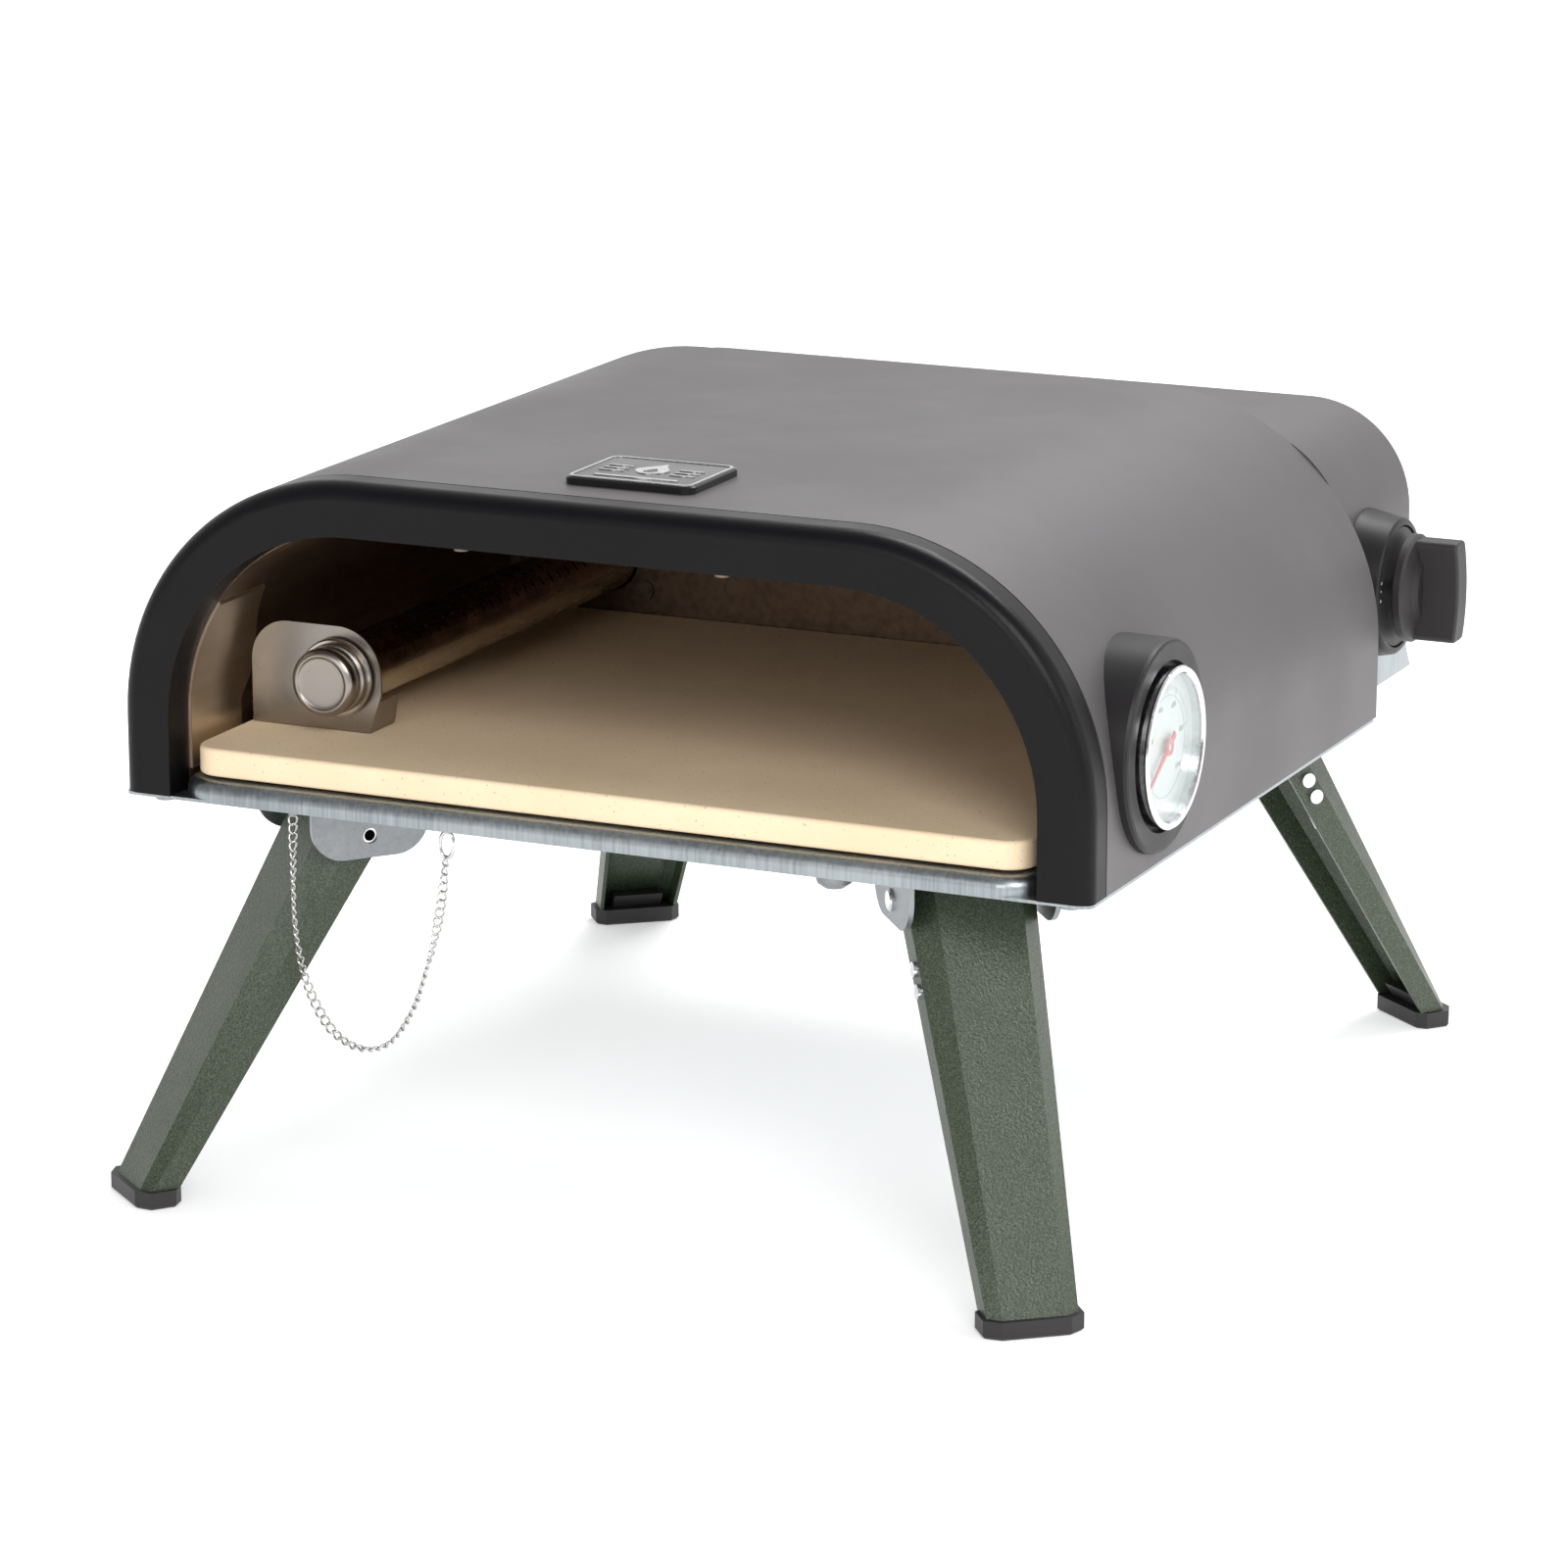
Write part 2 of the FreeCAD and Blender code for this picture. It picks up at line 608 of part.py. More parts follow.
cap = body("burner_end_cap", (S["burner_x"], 0, S["burner_z"]))
front = S["burner_front"]
rim = S["burner_r"]
turn(cap, "Y", [
    (front - 10.5, 0), (front - 10.2, 9.5), (front - 9.2, 12.4), (front - 7.6, 13.4), (front - 4.6, 13.4),
    (front - 3.4, 12.4), (front - 1.2, 12.4), (front - 0.8, rim + 0.6), (front, rim + 0.6), (front, rim - 1),
    (front + 5, rim - 1), (front + 5, rim - 2), (front - 6.5, rim - 2), (front - 8.5, 8), (front - 9, 0),
])

crimp = body("burner_crimp_ring", (S["burner_x"], 0, S["burner_z"]))
turn(crimp, "Y", [(front + 0.1, rim), (front + 0.1, rim + 1.6), (front + 0.8, rim + 2.2),
                  (front + 2.2, rim + 2.2), (front + 2.9, rim + 1.6), (front + 2.9, rim)])

bracket = body("burner_bracket")
plate = sketch(bracket, "Y", front + 4.0)
outline(plate, [(-169, 175.4), (-169, 215.5, 16), (-113, 215.5, 18.5), (-113, 190, 6), (-118, 175.4)])
disc(plate, S["burner_x"], S["burner_z"], S["burner_r"])
grow(bracket, plate, "Y", 1.2)
foot = sketch(bracket, "Y", front + 4.0)
outline(foot, rect(-169, -118, 174.8, 176.0))
grow(bracket, foot, "Y", 20)
ear = sketch(bracket, "Y", front + 4.0)
outline(ear, [(-118.9, 176), (-117.7, 176), (-116.2, 186), (-117.4, 186)])
grow(bracket, ear, "Y", 20)

venturi = body("burner_venturi", (S["burner_x"], 0, S["burner_z"]))
tail = S["burner_rear"]
turn(venturi, "Y", [
    (tail - 12, rim), (tail - 12, rim + 1), (tail, rim + 1), (tail + 12, 9), (tail + 22, 9), (tail + 34, 13),
    (tail + 34, 12), (tail + 22, 8), (tail + 12, 8), (tail, rim),
])
windows = sketch(venturi, "Z", -20)
outline(windows, rect(-3, 3, tail + 24, tail + 32))
cut(venturi, windows, "Z", 40)

jet = body("gas_jet", (S["burner_x"], 0, S["burner_z"]))
turn(jet, "Y", [(tail + 26, 0.6), (tail + 26, 2.5), (tail + 29, 4.2), (tail + 36, 4.2), (tail + 36, 7),
                (tail + 42, 7), (tail + 42, 3.0), (tail + 33, 3.0), (tail + 33, 0.6)])
holder = body("jet_bracket", (S["burner_x"], 0, S["burner_z"]))
arm = sketch(holder, "Y", tail + 34)
stand = S["plateau_z"] - S["burner_z"]
outline(arm, [(-14, stand), (14, stand), (14, 8, 6), (-14, 8, 6)])
disc(arm, 0, 0, 4.2)
grow(holder, arm, "Y", 2)
sole = sketch(holder, "Z", stand)
outline(sole, rect(-14, 14, tail + 34, tail + 50))
grow(holder, sole, "Z", 1.6)

gas_y = S["burner_rear"].value + 36
tube("gas_pipe", [
    (140, 351, 200), (116, 351, 200), (112, 392, 199), (-104, 392, 196.4),
    (S["burner_x"].value, 392, 196), (S["burner_x"].value, gas_y, 196)], 3.0, 1.8, 7.0)

# ---------------------------------------------------------------- gas valve and knob
valve = body("gas_valve", (0, S["knob_y"], S["knob_z"]))
skin = S["cowl_half_w"] - SHEET
bore = S["stem_r"] + S["play"]
turn(valve, "X", [
    (140, 3.0), (140, 6), (148, 6), (148, 13), (skin - 6, 13), (skin - 6, 9.5), (skin, 9.5), (skin, 5.2),
    (166, 5.2), (166, bore), (153, bore), (153, 3.0),
])
side_port = sketch(valve, "Y", 0)
disc(side_port, 150, 0, 5)
grow(valve, side_port, "Y", 16)
clear = sketch(valve, "Y", 0)
disc(clear, 150, 0, 2.2)
cut(valve, clear, "Y", 17)

inlet = body("gas_inlet", (150, 0, S["knob_z"]))
outer_y = S["cowl_rear"]
turn(inlet, "Y", [
    (S["knob_y"] + 16, 2.2), (S["knob_y"] + 16, 4), (outer_y - 14, 4), (outer_y - 14, 8.0),
    (outer_y, 8.0), (outer_y, 12.5), (outer_y + 3.5, 12.5), (outer_y + 3.5, 7.94), (outer_y + 17, 7.94),
    (outer_y + 19, 5.6), (outer_y + 19, 4.0), (outer_y + 8, 2.2),
])
boss = body("knob_boss", (0, S["knob_y"], S["knob_z"]))
turn(boss, "X", [(168, 11), (168, 31), (S["cowl_half_w"], S["boss_base_r"]), (S["cowl_half_w"] + 14, S["boss_r"] + 0.8),
                 (S["cowl_half_w"] + 14.8, S["boss_r"]), (S["cowl_half_w"] + 15, S["boss_r"] - 1.2),
                 (S["cowl_half_w"] + 15, 25), (S["cowl_half_w"] + 13, 24.6), (S["cowl_half_w"] + 13, 11)])
under = sketch(boss, "Y", -60)
outline(under, [(140, -60), (140, S["cowl_top"] - S["knob_z"]), (S["cowl_half_w"], S["cowl_top"] - S["knob_z"], S["cowl_r"]),
                (S["cowl_half_w"], -60)])
cut(boss, under, "Y", 120)

scale = body("dial_plate", (0, S["knob_y"], S["knob_z"]))
turn(scale, "X", [(S["cowl_half_w"] + 13, 6.0), (S["cowl_half_w"] + 13, 24.2),
                  (S["cowl_half_w"] + 14.4, 24.2), (S["cowl_half_w"] + 14.4, 6.0)])

seat = body("valve_spring_seat", (0, S["knob_y"], S["knob_z"]))
turn(seat, "X", [(170.4, bore), (170.4, 4.8), (173, 4.8), (173, bore)])

stem = body("valve_stem", (0, S["knob_y"], S["knob_z"]))
turn(stem, "X", [(158.4, 0), (158.4, 3.0), (173, 3.0), (173, 4.4), (174, 4.4), (174, 3.0), (213, 3.0), (213, 0)])
flat = sketch(stem, "X", 196)
outline(flat, rect(-4, 4, 1.8, 4))
cut(stem, flat, "X", 20)

knob = body("knob", (0, S["knob_y"], S["knob_z"]))
base_x = S["cowl_half_w"] + 18.4
turn(knob, "X", [
    (base_x, 0), (base_x, S["knob_r"] - 0.5), (base_x + 0.5, S["knob_r"]), (base_x + 3.2, S["knob_r"]),
    (base_x + 4.4, S["knob_r"] - 1), (base_x + 6.6, 15), (base_x + 8, 12), (base_x + 8, 0),
])
handle = sketch(knob, "X", base_x + 2)
outline(handle, [
    (-S["grip_t"] * 0.5, -20.6, 2.5), (S["grip_t"] * 0.5, -20.6, 2.5),
    (S["grip_t"] * 0.5, 20.6, 2.5), (-S["grip_t"] * 0.5, 20.6, 2.5),
])
grow(knob, handle, "X", 21.5)
end_x = base_x + 23.5
crown = sketch(knob, "Y", -20)
outline(crown, [(end_x - 2.4, 24), (end_x + 1.0, 0, 150), (end_x - 2.4, -24), (end_x + 4, -24), (end_x + 4, 24)])
cut(knob, crown, "Y", 40)
dress(knob, "Fillet", lambda e: e.BoundBox.XMin > end_x.value - 3, 1.2)
socket = sketch(knob, "X", base_x)
disc(socket, 0, 0, S["stem_r"])
cut(knob, socket, "X", 16.6)
key = sketch(knob, "X", base_x)
outline(key, rect(-2.3, 2.3, 1.8, 2.9))
grow(knob, key, "X", 16.6)

# ---------------------------------------------------------------- thermometer
cup = body("thermometer_cup", (0, S["dial_y"], S["dial_z"]))
turn(cup, "X", [
    (170, 3.2), (170, S["cup_r"] + 0.5), (S["cup_x"] - 1.5, S["cup_r"]), (S["cup_x"] - 0.4, S["cup_r"] - 0.5),
    (S["cup_x"], S["cup_r"] - 1.5), (S["cup_x"], S["case_r"] + 1.6), (S["cup_x"] - 3, S["case_r"] + 1.4),
    (S["cup_x"] - 3, 3.2),
])
under = sketch(cup, "Y", -60)
outline(under, [(90, -60), (90, S["top_z"] - S["dial_z"]), (S["half_w"], S["top_z"] - S["dial_z"], S["arch_r"]),
                (S["half_w"], -60)])
cut(cup, under, "Y", 120)
case_x = S["cup_x"] - 3
case = body("thermometer_case", (0, S["dial_y"], S["dial_z"]))
turn(case, "X", [
    (case_x, 0), (case_x, S["case_r"] - 0.6), (case_x + 5.4, S["case_r"] - 0.6), (case_x + 6.4, S["case_r"]),
    (case_x + 7, S["case_r"] - 0.5), (case_x + 7, S["case_r"] - 2.4), (case_x + 6.2, S["case_r"] - 3),
    (case_x + 2, S["case_r"] - 3), (case_x + 2, 0),
])
dial = body("thermometer_dial", (0, S["dial_y"], S["dial_z"]))
turn(dial, "X", [(case_x + 2, 0), (case_x + 2, S["case_r"] - 3), (case_x + 2.6, S["case_r"] - 3),
                 (case_x + 2.6, 1.5), (case_x + 4.3, 1.5), (case_x + 4.3, 0)])
lens = body("thermometer_lens", (0, S["dial_y"], S["dial_z"]))
turn(lens, "X", [(case_x + 5.2, 0), (case_x + 5.2, S["case_r"] - 3), (case_x + 6.0, S["case_r"] - 3),
                 (case_x + 6.3, 20), (case_x + 6.5, 0)])
needle = body("thermometer_needle", (0, S["dial_y"], S["dial_z"]))
turn(needle, "X", [(case_x + 3.4, 1.55), (case_x + 3.4, 3.2), (case_x + 4.6, 3.2), (case_x + 4.6, 1.55)])
hand = sketch(needle, "X", case_x + 3.5)
outline(hand, [(2.6, -0.9), (21, -0.35), (21, 0.35), (2.6, 0.9)])
grow(needle, hand, "X", 0.8)
counter = sketch(needle, "X", case_x + 3.5)
outline(counter, [(-7, -1.3), (-2.6, -0.8), (-2.6, 0.8), (-7, 1.3)])
grow(needle, counter, "X", 0.8)
needle_turn = FreeCAD.Rotation(FreeCAD.Vector(1, 0, 0), 212)
place(needle, (0, S["dial_y"], S["dial_z"]), needle_turn)
stalk = body("thermometer_probe", (0, S["dial_y"], S["dial_z"]))
turn(stalk, "X", [(152, 0), (152, 2.4), (154, 3.0), (case_x, 3.0), (case_x, 0)])

# ---------------------------------------------------------------- badge
badge = body("badge")
tile = sketch(badge, "Z", S["top_z"])
outline(tile, [c + (4.5,) for c in rect(
    -S["badge_w"] * 0.5, S["badge_w"] * 0.5, S["badge_y"] - S["badge_d"] * 0.5, S["badge_y"] + S["badge_d"] * 0.5)])
grow(badge, tile, "Z", S["badge_t"])
dress(badge, "Chamfer", lambda e: at_level(e, "z", S["top_z"].value + S["badge_t"].value), 0.6)

# ---------------------------------------------------------------- folding legs
# Leg frame: origin on the pivot, X out through the broad face, Y along the pivot, Z up the leg.
TOP_SECTION = (51.9, 34.6, 22.6, 11.6)
LOW_SECTION = (33.3, 23.7, 11.2, 2.3)


def channel_corners(section, inset):
    """Cross-section of the channel as (x, y): total width, face width, depth, chamfer depth."""
    width, flat_w, depth, slope = section
    out = S["leg_face"]
    if inset:
        t = S["leg_sheet"]
        drop = Dim(depth + 6.0, repr(depth + 6.0))
        return [
            (out - t, -(flat_w / 2 - 0.6)), (out - t, flat_w / 2 - 0.6),
            (out - slope - 0.6, width / 2 - t), (out - drop, width / 2 - t),
            (out - drop, -(width / 2 - t)), (out - slope - 0.6, -(width / 2 - t)),
        ]
    return [
        (out, -flat_w / 2), (out, flat_w / 2), (out - slope, width / 2), (out - depth, width / 2),
        (out - depth, -width / 2), (out - slope, -width / 2),
    ]


def loft(owner, kind, inset):
    top = sketch(owner, "Z", S["leg_up"])
    outline(top, channel_corners(TOP_SECTION, inset))
    low = sketch(owner, "Z", -S["leg_down"])
    outline(low, channel_corners(LOW_SECTION, inset))
    feature = owner.newObject("PartDesign::%sLoft" % kind, "%s_loft" % owner.Name)
    feature.Profile = top
    feature.Sections = [low]
    feature.Ruled = True
    doc.recompute()


def world_cut(owner, corners):
    """Cut across the leg in its X-Z plane, through its whole width."""
    item = sketch(owner, "Y", -40)
    outline(item, corners)
    cut(owner, item, "Y", 80)


tilt = math.radians(S["leg_tilt"].value)
SIN = math.sin(tilt)
COS = math.cos(tilt)


def leg_xz(u, z):
    """Leg-frame X and Z of a point u outwards and z above the pivot."""
    return (u * COS + z * SIN, -u * SIN + z * COS)


LEGS = [
    ("front_right", 1, S["pivot_front"], -1),
    ("front_left", -1, S["pivot_front"], -1),
    ("rear_right", 1, S["pivot_rear"], 1),
    ("rear_left", -1, S["pivot_rear"], 1),
]
WEB_Z = S["plateau_z"] - SHEET - S["plate_t"]
head = WEB_Z.value - S["pivot_z"].value
RIVETS = (-27.0, -35.5)
sole_z = (S["foot_h"] - S["pivot_z"]).value

for tag, side, pivot_y, fore in LEGS:
    azimuth = math.atan2(fore * math.sin(math.radians(S["leg_turn"].value)),
                         side * math.cos(math.radians(S["leg_turn"].value)))
    pivot = (S["pivot_x"] * side, pivot_y, S["pivot_z"])
    turned = FreeCAD.Rotation(FreeCAD.Vector(0, 0, 1), math.degrees(azimuth))
    leaning = turned.multiply(FreeCAD.Rotation(FreeCAD.Vector(0, 1, 0), -S["leg_tilt"].value))

    leg = body("leg_%s" % tag, pivot, leaning)
    loft(leg, "Additive", False)
    loft(leg, "Subtractive", True)
    # head: level cut under the bracket web, with the flanges rounded about the pivot
    a = leg_xz(-60, head)
    b = leg_xz(60, head)
    c = leg_xz(60, head + 60)
    d = leg_xz(-60, head + 60)
    world_cut(leg, [a, b, c, d])
    world_cut(leg, [(-30, S["leg_head_r"]), (2, S["leg_head_r"]), (2, 60), (-30, 60)])
    world_cut(leg, [(-30, 3), (-9, 3), (-4, S["leg_head_r"]), (-4, 60), (-30, 60)])
    world_cut(leg, [(2, S["leg_head_r"]), (11.8, 14.6), (11.8, 60), (2, 60)])
    # sole: level cut just above the ground, inside the foot cap
    a = leg_xz(-80, sole_z)
    b = leg_xz(160, sole_z)
    c = leg_xz(160, sole_z - 60)
    d = leg_xz(-80, sole_z - 60)
    world_cut(leg, [a, b, c, d])
    pin_hole = sketch(leg, "Y", -40)
    disc(pin_hole, 0, 0, S["pin_r"] + S["play"])
    cut(leg, pin_hole, "Y", 80)
    rivet_hole = sketch(leg, "Y", -40)
    for level in RIVETS:
        disc(rivet_hole, 1, level, 1.6)
    cut(leg, rivet_hole, "Y", 30)

    cap = body("foot_%s" % tag, (pivot[0], pivot[1], 0), turned)
    u0 = S["foot_u"].value
    outer = [
        (u0 + 2.6, -13), (u0 + 2.6, 13), (u0 - 1.6, 19), (u0 - 12, 19),
        (u0 - 15.5, 15), (u0 - 15.5, -15), (u0 - 12, -19), (u0 - 1.6, -19),
    ]
    base = sketch(cap, "Z", 0)
    outline(base, outer)
    grow(cap, base, "Z", S["foot_h"])
    dress(cap, "Chamfer", lambda e: at_level(e, "z", 0), 1.0)
    plug = sketch(cap, "Y", -11)
    lean = 6 * math.tan(tilt)
    h = S["foot_h"]
    outline(plug, [(u0 - 2.0, h), (u0 - 2.0 - lean, h + 6), (u0 - 11 - lean, h + 6), (u0 - 11, h)])
    grow(cap, plug, "Y", 22)

    yoke = body("leg_bracket_%s" % tag, pivot, turned)
    for edge_y in (S["plate_out"] - S["plate_t"], -S["plate_out"]):
        cheek = sketch(yoke, "Y", edge_y)
        half = S["plate_w"] * 0.5
        outline(cheek, [
            (-half, WEB_Z - S["pivot_z"] + 0.5), (-half, -S["plate_low"], S["plate_r"]),
            (half, -S["plate_low"], S["plate_r"]), (half, WEB_Z - S["pivot_z"] + 0.5),
        ])
        grow(yoke, cheek, "Y", S["plate_t"])
    web = sketch(yoke, "Z", WEB_Z - S["pivot_z"])
    outline(web, rect(-half, half, -S["plate_out"], S["plate_out"]))
    grow(yoke, web, "Z", S["plate_t"])
    pin_hole = sketch(yoke, "Y", -40)
    disc(pin_hole, 0, 0, S["pin_r"])
    cut(yoke, pin_hole, "Y", 80)

    pin = body("hinge_pin_%s" % tag, pivot, turned)
    reach = S["plate_out"]
    turn(pin, "Y", [
        (-reach - 1.5, 0), (-reach - 1.5, 3.4), (-reach - 0.9, 4.2), (-reach, 4.2), (-reach, S["pin_r"]),
        (reach - 1, S["pin_r"]), (reach - 1, 2.2), (reach - 24, 2.2), (reach - 24, 0),
    ])

    clip = body("leg_clip_%s" % tag, pivot, leaning)
    blade = sketch(clip, "Z", -50)
    outline(blade, rect(-4, 5, -20.6, -19.4))
    grow(clip, blade, "Z", 30)
    for level in RIVETS:
        flank = -(TOP_SECTION[0] / 2 - (TOP_SECTION[0] - LOW_SECTION[0]) / 2 / 198 * (26 - level))
        rivet = sketch(clip, "Y", flank)
        disc(rivet, 1, level, 1.6)
        grow(clip, rivet, "Y", -19.4 - flank)
        crown = sketch(clip, "Y", flank - 1.5)
        disc(crown, 1, level, 3.0)
        grow(clip, crown, "Y", 1.5 + 0.12)

# ---------------------------------------------------------------- hanging chain
deck_under = S["plateau_z"].value - SHEET.value
hang_y = S["chain_y"].value
CHAIN = [
    (-127.0, hang_y, 152.0), (-127.6, hang_y, 128.0), (-127.2, hang_y, 104.0), (-121.6, hang_y, 82.0),
    (-109.0, hang_y, 64.5), (-90.0, hang_y, 63.0), (-77.0, hang_y, 80.0), (-69.6, hang_y, 102.0),
    (-64.4, hang_y, 122.4), (-62.0, hang_y, 142.6),
]
tube("chain", CHAIN, S["chain_r"].value)

ring = body("chain_ring", (-61.6, S["chain_y"], 148.0))
for form, action in (((3.6, 5.6, 3.5), grow), ((2.0, 4.0, 1.9), cut)):
    item = sketch(ring, "Y", -0.8)
    w, h, r = form
    outline(item, [(-w, -h, r), (w, -h, r), (w, h, r), (-w, h, r)])
    action(ring, item, "Y", 1.6)
anchors = body("chain_anchors")
for x, z in ((-127.0, 152.0), (-61.6, 153.6)):
    stub = sketch(anchors, "Z", z)
    disc(stub, x, S["chain_y"], 1.6)
    grow(anchors, stub, "Z", deck_under - z)

# ---------------------------------------------------------------- small fixings
dome = body("tray_stud", (90, 20, 0))
turn(dome, "Z", [(145.2, 0), (145.6, 4), (147.4, 6.4), (150, 7.2), (deck_under, 7.2), (deck_under, 0)])

screws = body("liner_screws")
for x in (-55.0, 51.0):
    stud = sketch(screws, "Z", MOUTH[1] - 2.0)
    disc(stud, x, 8, 3.4)
    grow(screws, stud, "Z", 2.0)
corner_screw = sketch(screws, "Y", S["wall_y"] - 2.2)
disc(corner_screw, -113.5, 184, 4.0)
disc(corner_screw, 120, 240, 4.0)
disc(corner_screw, 20, 252, 4.0)
grow(screws, corner_screw, "Y", 2.2)

bolts = body("tray_bolts")
for x, y in ((186, 12), (-186, 12), (186, 160), (-186, 160), (186, 296), (-186, 296)):
    head_item = sketch(bolts, "Z", S["base_z"] - 3.0)
    disc(head_item, x, y, 4.2)
    grow(bolts, head_item, "Z", 3.0)

flange_screws = body("cowl_screws")
for x in (-120, 0, 120):
    head_item = sketch(flange_screws, "Y", S["shell_rear"] + SHEET)
    disc(head_item, x, S["cowl_top"] + 3, 2.6)
    grow(flange_screws, head_item, "Y", 1.8)

# ---------------------------------------------------------------- checks and files
doc.recompute()
problems = []
for item in doc.Objects:
    if "Invalid" in item.State or "Error" in item.State:
        problems.append("%s is in error" % item.Label)
for item in BODIES:
    shape = item.Shape
    if shape.isNull() or not shape.isValid():
        problems.append("%s has no valid shape" % item.Label)
for line in problems:
    print("PROBLEM", line)
if problems:
    raise RuntimeError("the build stopped before writing")

low = [1e9, 1e9, 1e9]
high = [-1e9, -1e9, -1e9]
for item in BODIES:
    box = item.Shape.BoundBox
    low = [min(low[0], box.XMin), min(low[1], box.YMin), min(low[2], box.ZMin)]
    high = [max(high[0], box.XMax), max(high[1], box.YMax), max(high[2], box.ZMax)]
    item.Shape.exportStep("parts/%s.step" % item.Label)
    print("%-26s volume %10.1f solids %d" % (item.Label, item.Shape.Volume, len(item.Shape.Solids)))
print("parts", len(BODIES))
print("box", [round(value, 2) for value in low], [round(value, 2) for value in high])
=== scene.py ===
import math

import bpy
from mathutils import Matrix, Vector


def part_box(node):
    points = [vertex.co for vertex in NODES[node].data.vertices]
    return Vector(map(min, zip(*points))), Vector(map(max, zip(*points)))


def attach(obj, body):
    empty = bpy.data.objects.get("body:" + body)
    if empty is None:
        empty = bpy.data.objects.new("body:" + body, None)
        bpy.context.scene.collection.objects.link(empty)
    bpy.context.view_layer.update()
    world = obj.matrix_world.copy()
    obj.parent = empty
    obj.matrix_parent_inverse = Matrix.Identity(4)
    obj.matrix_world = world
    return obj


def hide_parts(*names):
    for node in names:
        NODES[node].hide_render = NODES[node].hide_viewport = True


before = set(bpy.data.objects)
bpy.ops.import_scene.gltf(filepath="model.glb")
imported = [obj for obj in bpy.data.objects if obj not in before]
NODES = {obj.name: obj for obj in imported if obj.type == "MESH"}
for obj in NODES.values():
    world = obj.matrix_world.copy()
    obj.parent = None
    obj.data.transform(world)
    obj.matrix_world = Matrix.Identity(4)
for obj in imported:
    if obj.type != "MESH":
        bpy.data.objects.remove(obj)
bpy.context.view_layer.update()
SCENE = bpy.context.scene
LEG_TAGS = ("front_right", "front_left", "rear_right", "rear_left")
SHIFT = Vector((-0.0093, -0.1983, 0.0))


def at(x, y, z):
    """A point of the drawing, in millimetres, as a point of the row frame in metres."""
    return Vector((x, y, z)) * 0.001 + SHIFT


def srgb(red, green, blue):
    """A screen colour of 0 to 255 as a linear colour."""
    values = []
    for value in (red, green, blue):
        share = value / 255
        values.append(share / 12.92 if share <= 0.04045 else ((share + 0.055) / 1.055) ** 2.4)
    return (values[0], values[1], values[2], 1.0)


# ---------------------------------------------------------------- camera
CAMERA_AZIMUTH = 24.563
CAMERA_ELEVATION = 14.534
CAMERA_PLACE = at(936.03, -1875.35, 722.33)
LENS = 135.5
SENSOR_WIDTH = 36.0
camera_data = bpy.data.cameras.new("camera")
camera = bpy.data.objects.new("camera", camera_data)
SCENE.collection.objects.link(camera)
SCENE.camera = camera
camera_data.lens = LENS
camera_data.sensor_width = SENSOR_WIDTH
camera_data.clip_start = 0.05
camera_data.clip_end = 50.0
turn = math.radians(CAMERA_AZIMUTH)
rise = math.radians(CAMERA_ELEVATION)
back = Vector((math.sin(turn) * math.cos(rise), -math.cos(turn) * math.cos(rise), math.sin(rise)))
camera.rotation_mode = "QUATERNION"
camera.location = CAMERA_PLACE
camera.rotation_quaternion = (-back).to_track_quat("-Z", "Y")


